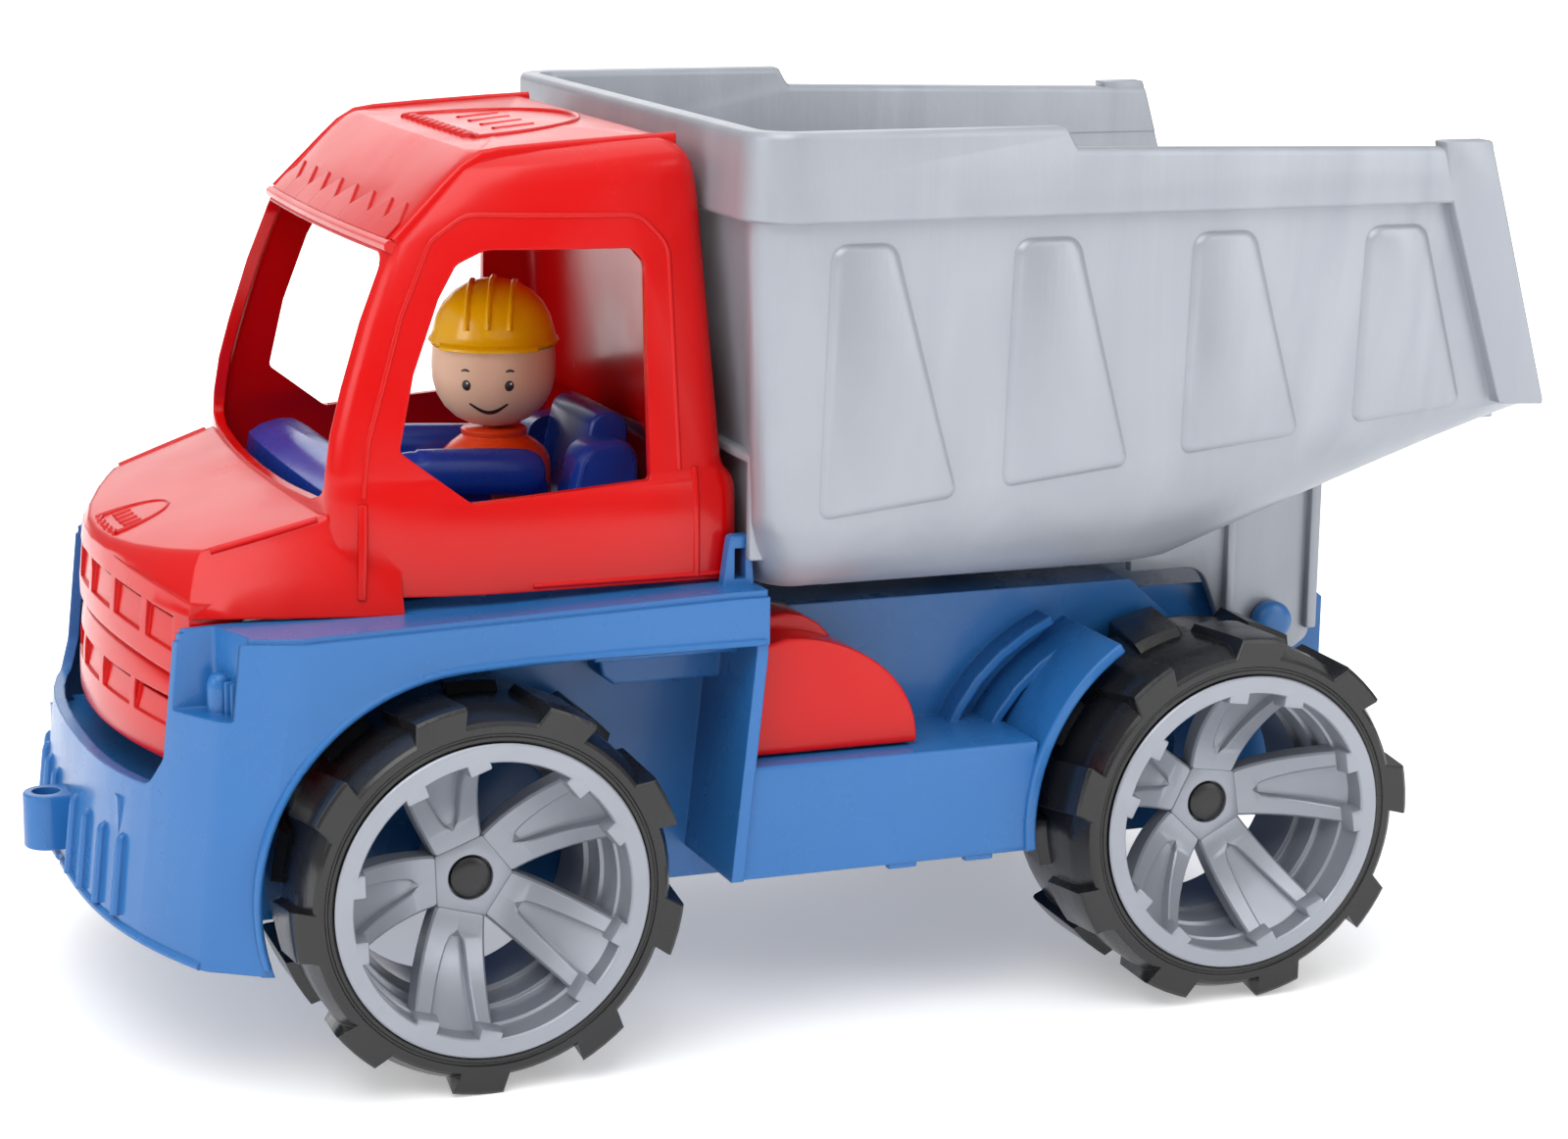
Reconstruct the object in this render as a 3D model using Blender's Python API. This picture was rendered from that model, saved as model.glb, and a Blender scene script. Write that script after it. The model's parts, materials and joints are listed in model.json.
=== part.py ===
"""Push-along toy tipper truck: chassis, cab, tipping body, four wheels and a driver.

Frame: +X forward, +Y to the truck's left, +Z up, ground at z = 0, origin under
the middle of the truck.  Lengths below are in millimetres and are scaled to
metres where the meshes are made.
"""
import math

import bmesh
import bpy
from mathutils import Matrix, Vector

for old in list(bpy.data.objects):
    bpy.data.objects.remove(old, do_unlink=True)

# ------------------------------------------------------------------ dimensions
MM = 0.001
DATUM = 0.76           # body heights are taken from this far above the ground
X_SHIFT = 2.1          # puts the origin under the middle of the whole truck

X_FRONT_AXLE = 69.3
X_REAR_AXLE = -82.9
Z_AXLE = 35.9
TYRE_R = 36.8          # over the tread blocks
TREAD_R = 35.0         # tread floor
TYRE_IN_Y = 42.4
TYRE_OUT_Y = 75.8
BEAD_R = 28.0
RIM_R = 29.4
RIM_FACE_Y = 76.5
HUB_FACE_Y = 60.5
HUB_PLATE_R = 8.0
BLOCKS = 9
SPOKE_PAIRS = 5
AXLE_R = 2.0
AXLE_HALF = 57.6
CAP_R = 3.9

SPINE_HALF = 40.4
REAR_SPINE_HALF = 33.2
WALL = 2.2
FENDER_HALF = 67.0
ARCH_R = 40.2
BOX_HALF = 65.0

PIVOT_X = -107.6
PIVOT_Z = 66.3
PIVOT_R = 3.4
TIP_WEB_IN = 35.0
TIP_WEB_OUT = 37.6

BED_HALF = 73.0
RIM_HALF = 75.7
BED_FRONT_X = 18.5
BED_RIM_FRONT_X = 20.6

CAB_GAP = 0.35

RED = (0.78, 0.012, 0.010)
BLUE = (0.055, 0.225, 0.60)
DEEP_BLUE = (0.020, 0.085, 0.36)
SILVER = (0.52, 0.54, 0.58)
BLACK = (0.012, 0.012, 0.014)
YELLOW = (0.95, 0.52, 0.0)
SKIN = (0.86, 0.58, 0.38)
ORANGE = (0.90, 0.085, 0.01)
STEEL = (0.60, 0.60, 0.62)


# -------------------------------------------------------------------- modelling
def P(x, y, z):
    return Vector(((x + X_SHIFT) * MM, y * MM, (z + DATUM) * MM))


def to_bm(verts, faces):
    bm = bmesh.new()
    vs = [bm.verts.new(P(*v)) for v in verts]
    for f in faces:
        bm.faces.new([vs[i] for i in f])
    bmesh.ops.recalc_face_normals(bm, faces=bm.faces)
    bent = []
    for f in bm.faces:
        c = f.calc_center_median()
        if len(f.verts) > 3 and max(abs((v.co - c).dot(f.normal)) for v in f.verts) > 1e-7:
            bent.append(f)
    bmesh.ops.triangulate(bm, faces=bent)
    return bm


def loft(rings):
    """Closed solid through rings of equally many points, flat at both ends."""
    n = len(rings[0])
    verts = [p for r in rings for p in r]
    faces = [list(range(n))[::-1], [(len(rings) - 1) * n + i for i in range(n)]]
    for k in range(len(rings) - 1):
        for i in range(n):
            j = (i + 1) % n
            faces.append([k * n + i, k * n + j, (k + 1) * n + j, (k + 1) * n + i])
    return to_bm(verts, faces)


def prism_y(pts, y0, y1):
    return loft([[(x, y, z) for x, z in pts] for y in (y0, y1)])


def prism_z(pts, z0, z1):
    return loft([[(x, y, z) for x, y in pts] for z in (z0, z1)])


def prism_x(pts, x0, x1):
    return loft([[(x, y, z) for y, z in pts] for x in (x0, x1)])


def box(x0, x1, y0, y1, z0, z1):
    return prism_z([(x0, y0), (x1, y0), (x1, y1), (x0, y1)], z0, z1)


def drafted_y(pts, half):
    """Solid between two leaning sides: half(x, z) gives the half width."""
    return loft([[(x, s * half(x, z), z) for x, z in pts] for s in (-1, 1)])


def arc(cx, cy, r, a0, a1, n):
    return [(cx + r * math.cos(math.radians(a0 + (a1 - a0) * i / n)),
             cy + r * math.sin(math.radians(a0 + (a1 - a0) * i / n))) for i in range(n + 1)]


def rod_y(x, z, r, y0, y1, n=16, a0=0.0):
    return prism_y([(x + r * math.cos(a0 + 2 * math.pi * i / n),
                     z + r * math.sin(a0 + 2 * math.pi * i / n)) for i in range(n)], y0, y1)


def revolve(profile, n, origin, axis, closed=False, start=0.0):
    """Turned piece. profile is (radius, along) pairs; ends on the axis when open."""
    ax = Vector(axis).normalized()
    u = ax.orthogonal().normalized()
    w = ax.cross(u)
    o = Vector(origin)
    bm = bmesh.new()
    rings = []
    for r, h in profile:
        if r < 1e-6:
            rings.append([bm.verts.new(P(*(o + ax * h)))])
        else:
            rings.append([bm.verts.new(P(*(o + ax * h + u * (r * math.cos(start + 2 * math.pi * i / n))
                                           + w * (r * math.sin(start + 2 * math.pi * i / n)))))
                          for i in range(n)])
    pairs = list(zip(rings[:-1], rings[1:]))
    if closed:
        pairs.append((rings[-1], rings[0]))
    for a, b in pairs:
        for i in range(n):
            j = (i + 1) % n
            if len(a) == 1:
                bm.faces.new([a[0], b[j], b[i]])
            elif len(b) == 1:
                bm.faces.new([a[i], a[j], b[0]])
            else:
                bm.faces.new([a[i], a[j], b[j], b[i]])
    bmesh.ops.recalc_face_normals(bm, faces=bm.faces)
    return bm


def temp_object(bm):
    me = bpy.data.meshes.new("tmp")
    bm.to_mesh(me)
    bm.free()
    ob = bpy.data.objects.new("tmp", me)
    bpy.context.scene.collection.objects.link(ob)
    return ob


def combine(first, others, op):
    """Union or difference of solids, returned as one bmesh."""
    if not others:
        return first
    base = temp_object(first)
    tools = [temp_object(o) for o in others]
    for t in tools:
        m = base.modifiers.new("b", "BOOLEAN")
        m.operation = op
        m.solver = "EXACT"
        m.object = t
    bpy.context.view_layer.update()
    me = bpy.data.meshes.new_from_object(base.evaluated_get(bpy.context.evaluated_depsgraph_get()))
    bm = bmesh.new()
    bm.from_mesh(me)
    for ob in [base] + tools:
        bpy.data.objects.remove(ob, do_unlink=True)
    bmesh.ops.remove_doubles(bm, verts=bm.verts, dist=0.000001)
    bmesh.ops.dissolve_limit(bm, angle_limit=math.radians(0.4), verts=bm.verts, edges=bm.edges)
    return bm


def union(*solids):
    return combine(solids[0], list(solids[1:]), "UNION")


def cut(solid, *tools):
    return combine(solid, list(tools), "DIFFERENCE")


MATS = {}


def material(name, rgb, rough, metal):
    if name not in MATS:
        m = bpy.data.materials.new(name)
        m.use_nodes = True
        b = m.node_tree.nodes["Principled BSDF"]
        b.inputs["Base Color"].default_value = (*rgb, 1.0)
        b.inputs["Roughness"].default_value = rough
        b.inputs["Metallic"].default_value = metal
        m.diffuse_color = (*rgb, 1.0)
        MATS[name] = m
    return MATS[name]


def add(name, bm, mat, origin=(0.0, 0.0, 0.0), parent=None):
    """Makes the named object with its origin at a point of its joint axis."""
    o = P(*origin) if origin != (0.0, 0.0, 0.0) else Vector((0, 0, 0))
    bmesh.ops.translate(bm, vec=-o, verts=bm.verts)
    me = bpy.data.meshes.new(name)
    bm.to_mesh(me)
    bm.free()
    me.materials.append(mat)
    me.shade_smooth()
    me.set_sharp_from_angle(angle=math.radians(32))
    ob = bpy.data.objects.new(name, me)
    bpy.context.scene.collection.objects.link(ob)
    ob.location = o
    if parent is not None:
        ob.parent = parent
        ob.location = o - parent.location
    return ob


def axis_empty(name, origin):
    e = bpy.data.objects.new(name, None)
    e.location = P(*origin)
    bpy.context.scene.collection.objects.link(e)
    return e


def sides(fn):
    return [fn(s) for s in (-1, 1)]


M_BLUE = material("blue_plastic", BLUE, 0.28, 0.0)
M_RED = material("red_plastic", RED, 0.22, 0.0)
M_SILVER = material("silver_plastic", SILVER, 0.36, 0.35)
M_RIM = material("rim_plastic", SILVER, 0.34, 0.35)
M_BLACK = material("black_plastic", BLACK, 0.30, 0.0)
M_STEEL = material("axle_steel", STEEL, 0.25, 1.0)
M_DEEP = material("interior_plastic", DEEP_BLUE, 0.30, 0.0)
M_YELLOW = material("helmet_plastic", YELLOW, 0.28, 0.0)
M_SKIN = material("head_plastic", SKIN, 0.40, 0.0)
M_ORANGE = material("torso_plastic", ORANGE, 0.32, 0.0)


# ---------------------------------------------------------------------- chassis
def nose_drop(y):
    return 2.7 * (abs(y) / 35.0) ** 3.05


def nose_x(y, z):
    """Outer face of the bumper: bowed in plan, leaning forward at the foot."""
    return 134.0 - 0.103 * (z - 24.0) - nose_drop(y)


def outline(z, inset=0.0):
    """Plan outline of the left half of the front end, from centre to fender end."""
    pts = [(nose_x(y, z) - inset, y) for y in (0, 12, 24, 36, 46, 54)]
    pts.append((nose_x(60, z) - inset * 0.8, 60 - inset * 0.6))
    pts += [(nose_x(60, z) - 4.6 - inset * 0.6, 63.8 - inset * 0.8),
            (nose_x(60, z) - 10.5, 66.2 - inset), (101.0, FENDER_HALF - inset),
            (13.4, FENDER_HALF - inset)]
    return pts


def full_outline(z, inset=0.0):
    half = outline(z, inset)
    return half + [(x, -y) for x, y in half[:0:-1]]


def skin_ring(z):
    out = full_outline(z)
    n = len(outline(z))
    inn = full_outline(z, WALL)
    # one U-shaped ring: the outer line forward, the inner line back
    left = out[:n][::-1]
    right = out[n:][::-1]
    outer = left + right
    inner = (inn[:n][::-1] + inn[n:][::-1])[::-1]
    return [(x, y, z) for x, y in outer + inner]


def deck_z(x):
    return 87.2 - 0.033 * max(0.0, x - 20.0)


def make_chassis():
    skin = loft([skin_ring(19.0), skin_ring(90.0)])
    arch = [(13.0, 0.0), (13.0, 77.0), (60.0, 77.0)] + arc(X_FRONT_AXLE, Z_AXLE, ARCH_R, 88, -33, 12) + [(100.0, 0.0)]
    opening = prism_x([(-48.6, 95.0), (-48.6, 60.0), (-46.0, 55.0), (46.0, 55.0), (48.6, 60.0), (48.6, 95.0)], 95.0, 150.0)
    foot = prism_x([(-80.0, 10.0)] + [(y, 27.5 - 3.6 * (y / 60.0) ** 2) for y in (-62, -40, -20, 0, 20, 40, 62)]
                   + [(80.0, 10.0)], 60.0, 150.0)
    top = prism_y([(0.0, deck_z(0) - 1.6), (20.0, deck_z(0) - 1.6), (104.0, deck_z(104) - 1.0),
                   (125.0, 81.4), (145.0, 79.5), (145.0, 99.0), (0.0, 99.0)], -80, 80)
    skin = cut(skin, prism_y(arch, 50, 80), prism_y(arch, -80, -50), opening, foot, top)
    # sloping deck inside the skin, with the well for the cab's nose
    deck = prism_z([(max(13.6, x), y) for x, y in full_outline(80.0, 1.2)], 60.0, 100.0)
    deck = cut(deck, prism_y([(0.0, 110.0), (0.0, deck_z(0)), (20.0, deck_z(20)), (150.0, deck_z(150)), (150.0, 110.0)], -90, 90),
               prism_y([(0.0, 50.0), (0.0, deck_z(0) - 2.4), (20.0, deck_z(20) - 2.4), (150.0, deck_z(150) - 2.4), (150.0, 50.0)], -90, 90),
               box(91.5, 150.0, -48.6, 48.6, 20.0, 110.0))
    # spine: an inverted channel between the wheels
    spine = prism_y([(-86.0, 25.0), (-86.0, 62.0), (-84.0, 69.0), (-74.5, 77.6), (16.0, 77.6), (16.0, 86.0),
                     (91.0, 85.0), (91.0, 53.0), (121.0, 50.0), (129.0, 50.0), (129.0, 30.0), (118.0, 25.0)],
                    -SPINE_HALF, SPINE_HALF)
    rear = prism_y([(-123.0, 30.0), (-123.0, 69.0), (-117.0, 74.0), (-80.0, 74.0), (-80.0, 25.0), (-118.0, 25.0)],
                   -REAR_SPINE_HALF, REAR_SPINE_HALF)
    parts = [skin, deck, spine, rear]
    for s in (-1, 1):
        def ys(a, b):
            return (a, b) if s > 0 else (-b, -a)
        # side box with its shelf
        parts.append(prism_y([(18.0, 53.0), (19.0, 31.0), (-41.5, 31.0), (-42.0, 42.0), (-43.6, 53.0)], *ys(39.0, BOX_HALF)))
        # leg in front of the box, up to the fender
        parts.append(prism_y([(13.6, 83.0), (15.6, 83.0), (15.4, 75.5), (20.2, 31.0), (17.9, 31.0), (13.4, 75.0)], *ys(39.0, FENDER_HALF - 0.6)))
        # strip over the rear wheel
        strip = arc(X_REAR_AXLE, Z_AXLE, 42.3, -6.6, 57, 7) + arc(X_REAR_AXLE, Z_AXLE, 40.0, 57, -6.6, 7)
        parts.append(prism_y(strip, *ys(39.0, BOX_HALF + 1.0)))
        # curved ribs ahead of it
        f1 = [(-39.6, 52.0), (-47.0, 61.5), (-58.0, 69.6), (-62.5, 71.6), (-63.0, 70.0), (-58.8, 67.6), (-48.6, 60.2), (-41.8, 52.0)]
        parts.append(prism_y(f1, *ys(39.0, 50.0)))
        parts.append(prism_y([(x + 6.4, z + 2.4) for x, z in f1], *ys(39.0, 46.5)))
        # tab that clips the cab
        parts.append(prism_y([(14.2, 84.0), (14.8, 96.6), (19.2, 96.6), (20.6, 84.0)], *ys(57.9, 60.6)))
        # small feet under the box
        parts.append(box(-18.5, -12.5, *ys(60.0, 64.4), 30.0, 32.0))
        parts.append(box(-34.5, -28.5, *ys(60.0, 64.4), 30.0, 32.0))
        # pod behind the headlight recess
        pod = [(111.9, 48.8), (nose_x(48.8, 75) - 1.2, 48.8), (nose_x(54, 75) - 1.2, 54.0), (nose_x(59.4, 75) - 1.2, 59.4),
               (nose_x(60, 75) - 5.4, 63.2), (107.0, 64.4)]
        parts.append(prism_z([(x, s * y) for x, y in pod], 67.6, 83.2))
        # pivot lug
        parts.append(rod_y(PIVOT_X, PIVOT_Z, 6.4, *ys(REAR_SPINE_HALF - 3.0, REAR_SPINE_HALF + 1.4), n=20))
    # tow loop and bumper ribs
    parts.append(prism_z([(136.4 + 5.0 * math.cos(a), 4.2 * math.sin(a))
                          for a in [math.radians(-90 + 15 * i) for i in range(13)]]
                         + [(130.5, 4.2), (130.5, -4.2)], 31.5, 42.0))
    for y in (-38.0, -29.5, -20.0, -10.0, 10.0, 20.0, 29.5, 38.0):
        parts.append(loft([[(nose_x(y, z) + d, y + w, z) for d, w in ((-1.4, -0.9), (1.0, -0.7), (1.0, 0.7), (-1.4, 0.9))]
                           for z in (28.0, 43.5)]))
    body = union(*parts)
    # hollows, all open below
    hollows = [prism_y([(-83.6, 0.0), (-83.6, 61.0), (-82.0, 67.6), (-73.6, 75.2), (18.4, 75.2), (18.4, 83.0),
                        (88.6, 82.0), (88.6, 50.6), (126.5, 47.6), (126.5, 0.0)], -SPINE_HALF + WALL, SPINE_HALF - WALL),
               prism_y([(-120.6, 0.0), (-120.6, 67.8), (-116.0, 71.6), (-86.2, 71.6), (-86.2, 0.0)],
                       -REAR_SPINE_HALF + WALL, REAR_SPINE_HALF - WALL)]
    for s in (-1, 1):
        a, b = (40.6, BOX_HALF - WALL)
        y0, y1 = (a, b) if s > 0 else (-b, -a)
        hollows.append(prism_y([(15.2, 50.8), (16.6, 0.0), (-39.2, 0.0), (-39.4, 42.0), (-41.0, 50.8)], y0, y1))
    for x in (X_FRONT_AXLE, X_REAR_AXLE):
        hollows.append(rod_y(x, Z_AXLE, AXLE_R + 0.4, -50, 50, n=16))
    hollows.append(rod_y(PIVOT_X, PIVOT_Z, PIVOT_R + 0.3, -50, 50, n=16))
    hollows.append(prism_z([(136.6 + 2.6 * math.cos(math.radians(30 * i)), 2.3 * math.sin(math.radians(30 * i)))
                            for i in range(12)], 20.0, 60.0))
    # headlight recesses in the corner pillars, open above
    for s in (-1, 1):
        hollows.append(prism_z([(x, s * y) for x, y in ((113.5, 49.9), (145.0, 49.9), (145.0, 62.2), (109.2, 62.2))], 69.3, 95.0))
    # slots in the clip tabs
    for s in (-1, 1):
        hollows.append(box(16.0, 18.2, *((56.0, 62.0) if s > 0 else (-62.0, -56.0)), 88.4, 94.0))
    body = cut(body, *hollows)
    # lamp and three ribs standing in each recess
    fittings = []
    for s in (-1, 1):
        fittings.append(prism_z([(113.3 + 2.3 * math.cos(math.radians(36 * i)), s * 53.6 + 2.3 * math.sin(math.radians(36 * i)))
                                 for i in range(10)], 68.4, 76.4))
        for x, y in ((111.0, 57.2), (110.3, 59.0), (109.7, 60.8)):
            fittings.append(box(x - 1.2, x + 2.4, s * y - 0.35, s * y + 0.35, 68.4, 75.6))
    return union(body, *fittings)


add("chassis", make_chassis(), M_BLUE)


# ------------------------------------------------------------------------- cab
def cab_half(x, z, inset=0.0):
    """Half width of the cab: leaning sides, narrowing towards the front."""
    base = 57.0 - 0.062 * max(0.0, z - 88.0)
    if z > 158.0:
        base -= 0.55 * (z - 158.0)
    if x > 78.0:
        base -= (x - 78.0) ** 1.0 * 0.30
    return base - inset


def loop(points, z_plan):
    return points


def make_cab():
    t = 2.0

    def shell(inset):
        i = inset
        prof = [(15.6 + i, 87.6 + CAB_GAP if i == 0 else 60.0), (15.4 + i, 95.0), (15.4 + i, 106.0), (17.9 + i, 109.4),
                (21.6 + i, 158.0), (22.4 + i, 166.0 - i * 0.6), (26.0 + i, 169.6 - i), (45.0, 169.0 - i),
                (64.0 - i * 0.7, 167.0 - i), (72.0 - i, 159.6 - i * 0.6), (79.2 - i, 150.7),
                (85.6 - i, 136.0), (89.4 - i, 122.0), (91.6 - i, 108.0), (92.2 - i, 101.0 if i == 0 else 60.0)]
        if i == 0:
            prof.append((92.2, 84.7 + CAB_GAP))
            return drafted_y(prof, lambda x, z: cab_half(x, z, i))
        return drafted_y(prof, lambda x, z: cab_half(x, z, i))

    def hood(inset):
        i = inset
        z_low = 85.75 - i * 30

        def ring(z, ys_, xf, drop):
            pts = []
            n = 8
            for k in range(n + 1):
                y = -ys_ + 2 * ys_ * k / n
                pts.append((xf - drop * (y / ys_) ** 2, y, z))
            return pts

        low = [(80.0, -56.0 + i, z_low)] + ring(z_low, 47.2 - i, 125.4 - i, 8.4)[:] + [(80.0, 56.0 - i, z_low)]
        mid_z = 95.0
        mid = [(80.0, -54.0 + i, mid_z)] + [(x, y, 95.2 - i * 0.8 if abs(y) > 30 else 93.4 - i * 0.8)
                                            for x, y, _ in ring(0, 43.4 - i, 126.0 - i, 10.6)] + [(80.0, 54.0 - i, mid_z)]
        top = [(80.0, -50.4 + i, 103.6 - i * 0.8)] + [(min(x, 94.0) if False else 93.2 - 0.0, y * 0.93, 102.4 - i * 0.9)
                                                     for x, y, _ in ring(0, 43.4 - i, 126.0, 10.6)] + [(80.0, 50.4 - i, 103.6 - i * 0.8)]
        return loft([low, mid, top])

    def nose(inset):
        i = inset

        def band(z, xf):
            n = 8
            pts = []
            for k in range(n + 1):
                y = -47.4 + i + 2 * (47.4 - i) * k / n
                pts.append((xf - i - 8.6 * (y / 47.4) ** 2, y, z))
            back = 100.8 if i == 0 else 89.4
            return [(back, -47.4 + i, z)] + pts + [(back, 47.4 - i, z)]

        if i == 0:
            return loft([band(57.4, 127.2), band(70.5, 127.0), band(72.0, 125.4), band(86.5, 125.2)])
        return loft([band(40.0, 127.2), band(70.5, 127.0), band(72.0, 125.4), band(90.0, 125.2)])

    outer = union(shell(0.0), hood(0.0), nose(0.0))
    inner = [shell(t), hood(t), nose(t)]
    # windscreen and side windows
    wind = drafted_y([(72.0, 148.2), (96.0, 148.2), (104.0, 104.6), (86.0, 104.6)], lambda x, z: 45.4 - 0.02 * (148 - z))
    side = [(62.6, 149.9), (36.0, 149.4), (33.4, 146.6), (33.2, 107.2), (67.2, 104.8), (79.4, 114.4),
            (76.6, 128.0), (71.4, 141.4), (68.0, 147.6)]
    body = cut(outer, *inner)
    body = cut(body, wind, prism_y(side, 30.0, 70.0), prism_y(side, -70.0, -30.0))
    return body


add("cab_shell", make_cab(), M_RED)

# seat and dashboard insert
floor_z = 88.2
insert = union(prism_y([(24.0, 87.4), (88.0, 85.4), (88.0, floor_z + 2.0), (24.0, floor_z + 2.0)], -46.0, 46.0),
               prism_y([(74.0, 89.0), (74.0, 101.0), (80.0, 105.0), (87.0, 103.0), (87.5, 89.0)], -42.0, 42.0),
               prism_y([(22.4, 89.0), (22.4, 108.0), (24.4, 111.4), (27.4, 112.0), (30.4, 110.0), (33.0, 94.0), (56.0, 93.4), (56.0, 89.0)], -16.0, 16.0),
               prism_y([(22.4, 89.0), (22.4, 104.0), (25.4, 109.0), (31.0, 108.0), (35.0, 102.0), (36.5, 89.0)], -21.0, -13.6),
               prism_y([(22.4, 89.0), (22.4, 104.0), (25.4, 109.0), (31.0, 108.0), (35.0, 102.0), (36.5, 89.0)], 13.6, 21.0))
add("cab_interior", insert, M_DEEP)

# ------------------------------------------------------------------- side tanks
def tank(s):
    def ys(a, b):
        return (a, b) if s > 0 else (-b, -a)
    big = [(14.6, 53.4), (12.9, 74.8), (8.0, 76.0)] + [
        (8.0 - 27.8 * math.sin(math.radians(a)), 54.6 + 21.4 * math.cos(math.radians(a))) for a in (15, 30, 45, 60, 75, 88)] + [(-19.8, 53.4)]
    small = [(14.2, 53.4), (12.0, 78.0), (4.0, 78.8)] + [
        (4.0 - 13.0 * math.sin(math.radians(a)), 60.8 + 18.0 * math.cos(math.radians(a))) for a in (25, 50, 75)] + [(-9.4, 53.4)]
    return union(prism_y(big, *ys(50.0, 60.0)), prism_y(small, *ys(40.8, 51.0)))


add("side_tank_left", tank(1), M_RED)
add("side_tank_right", tank(-1), M_RED)

# ------------------------------------------------------------------ tipping body
tip = axis_empty("tip_axis", (PIVOT_X, 0.0, PIVOT_Z))


def crease(x):
    return 99.3 + (16.2 - x) * 0.1112


def floor(x):
    return 85.2 if x > -70.0 else 85.2 + (-70.0 - x) * 0.353


def bed_section(x, i=0.0, top=None):
    zt = top if top is not None else (168.0 if x > -44 else 168.0 - (-44 - x) * 0.018)
    zc, zf = crease(x), floor(x)
    zf = min(zf, zc - 1.2)
    h = BED_HALF - i
    return [(x, h, zt), (x, h, zc + i * 0.2), (x, h - 5.5, zc - 0.55 * (zc - zf) + i * 0.6), (x, h - 17.0, zf + i),
            (x, -h + 17.0, zf + i), (x, -h + 5.5, zc - 0.55 * (zc - zf) + i * 0.6), (x, -h, zc + i * 0.2), (x, -h, zt)]


def front_x(z):
    """Leaning front wall of the body."""
    if z < 99.0:
        return 11.6 + (z - 85.0) * 0.36
    return 16.6 + (z - 99.0) * 0.034


def make_bed():
    xs = [-148.0, -130.0, -100.0, -70.0, -30.0, BED_FRONT_X]
    outer = loft([bed_section(x) for x in xs[:-1]] + [[(min(front_x(z), BED_FRONT_X), y, z) for _, y, z in bed_section(BED_FRONT_X)]])
    inner = loft([bed_section(x, 2.2, 190.0) for x in [-155.0, -130.0, -100.0, -70.0, -30.0]]
                 + [[(min(front_x(z), BED_FRONT_X) - 2.4, y, z) for _, y, z in bed_section(BED_FRONT_X, 2.2, 190.0)]])
    rim = []
    z_lo = 155.4
    band = [(BED_RIM_FRONT_X, -RIM_HALF + 4.5), (BED_RIM_FRONT_X - 1.3, -RIM_HALF + 1.3), (BED_RIM_FRONT_X - 4.5, -RIM_HALF),
            (-129.0, -RIM_HALF), (-129.0, RIM_HALF), (BED_RIM_FRONT_X - 4.5, RIM_HALF), (BED_RIM_FRONT_X - 1.3, RIM_HALF - 1.3),
            (BED_RIM_FRONT_X, RIM_HALF - 4.5)]
    ring = prism_z(band, z_lo, 172.0)
    # the rim is high at the front and steps down behind the cab
    ring = cut(ring, prism_y([(-41.6, 190.0), (-41.6, 171.0), (-42.6, 168.1), (-170.0, 165.8), (-170.0, 190.0)], -90, 90),
               box(-170.0, BED_FRONT_X - 3.2, -(BED_HALF - 2.2), BED_HALF - 2.2, 140.0, 200.0))
    posts = []
    for s in (-1, 1):
        y0, y1 = (BED_HALF - 2.0, RIM_HALF) if s > 0 else (-RIM_HALF, -BED_HALF + 2.0)
        posts.append(prism_y([(-131.8, 166.6), (-121.0, 166.8), (-123.2, 154.8), (-135.2, 117.4), (-135.6, 115.9), (-146.0, 115.9), (-146.2, 117.4)], y0, y1))
        # raised panels on the side
        for (a, b, c, d) in ((3.8, -6.9, -20.1, 5.5), (-32.6, -43.7, -55.3, -31.2), (-69.4, -80.5, -91.6, -68.3), (-106.6, -117.6, -127.3, -105.3)):
            p = (BED_HALF - 1.0, BED_HALF + 1.0) if s > 0 else (-BED_HALF - 1.0, -BED_HALF + 1.0)
            posts.append(prism_y([(a, 150.8), (b, 150.8), (c, crease(c) + 1.2), (d, crease(d) + 1.2)], *p))
    lip = box(-145.2, -139.0, -BED_HALF + 14.0, BED_HALF - 14.0, 110.2, 113.4)
    body = cut(outer, inner)
    # recess in the front wall that clears the back of the cab
    body = union(body, box(11.2, 16.2, -63.0, 63.0, 92.0, 112.0), ring, *posts, lip)
    slant = prism_y([(-131.0, 173.0), (-131.2, 166.0), (-145.6, 116.6), (-145.6, 100.0), (-170.0, 100.0), (-170.0, 190.0), (-131.0, 190.0)], -80, 80)
    return cut(body, box(13.6, 40.0, -61.4, 61.4, 80.0, 110.4), slant)


add("dump_bed", make_bed(), M_SILVER, (PIVOT_X, 0.0, PIVOT_Z), tip)


def make_subframe():
    parts = []
    for s in (-1, 1):
        def ys(a, b):
            return (a, b) if s > 0 else (-b, -a)
        web = [(-8.0, 84.8), (-8.0, 80.4), (-76.0, 80.4), (-76.0, 78.3), (-92.0, 78.3), (-98.6, 62.0), (-103.0, 59.4),
               (-114.0, 59.4), (-117.6, 62.0), (-118.6, 92.0), (-118.6, floor(-118.6) - 0.5), (-70.0, 84.8)]
        parts.append(prism_y(web, *ys(TIP_WEB_IN, TIP_WEB_OUT)))
        parts.append(box(-99.0, -97.0, *ys(TIP_WEB_OUT - 0.6, 39.4), 66.0, 93.6))
        parts.append(box(-118.0, -116.0, *ys(TIP_WEB_OUT - 0.6, 39.4), 64.0, 100.6))
        parts.append(box(-75.0, -10.0, *ys(27.5, TIP_WEB_IN + 0.6), 81.6, 84.2))
    parts.append(prism_y([(-112.0, 90.0), (-112.0, floor(-112.0) - 0.9), (-110.0, floor(-110.0) - 0.9), (-110.0, 90.0)], -36.0, 36.0))
    parts.append(box(-60.0, -57.6, -29.0, 29.0, 82.0, 84.0))
    body = union(*parts)
    return cut(body, rod_y(PIVOT_X, PIVOT_Z, PIVOT_R + 0.3, -60, 60, n=16))


add("bed_subframe", make_subframe(), M_SILVER, (PIVOT_X, 0.0, PIVOT_Z), tip)

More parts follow.
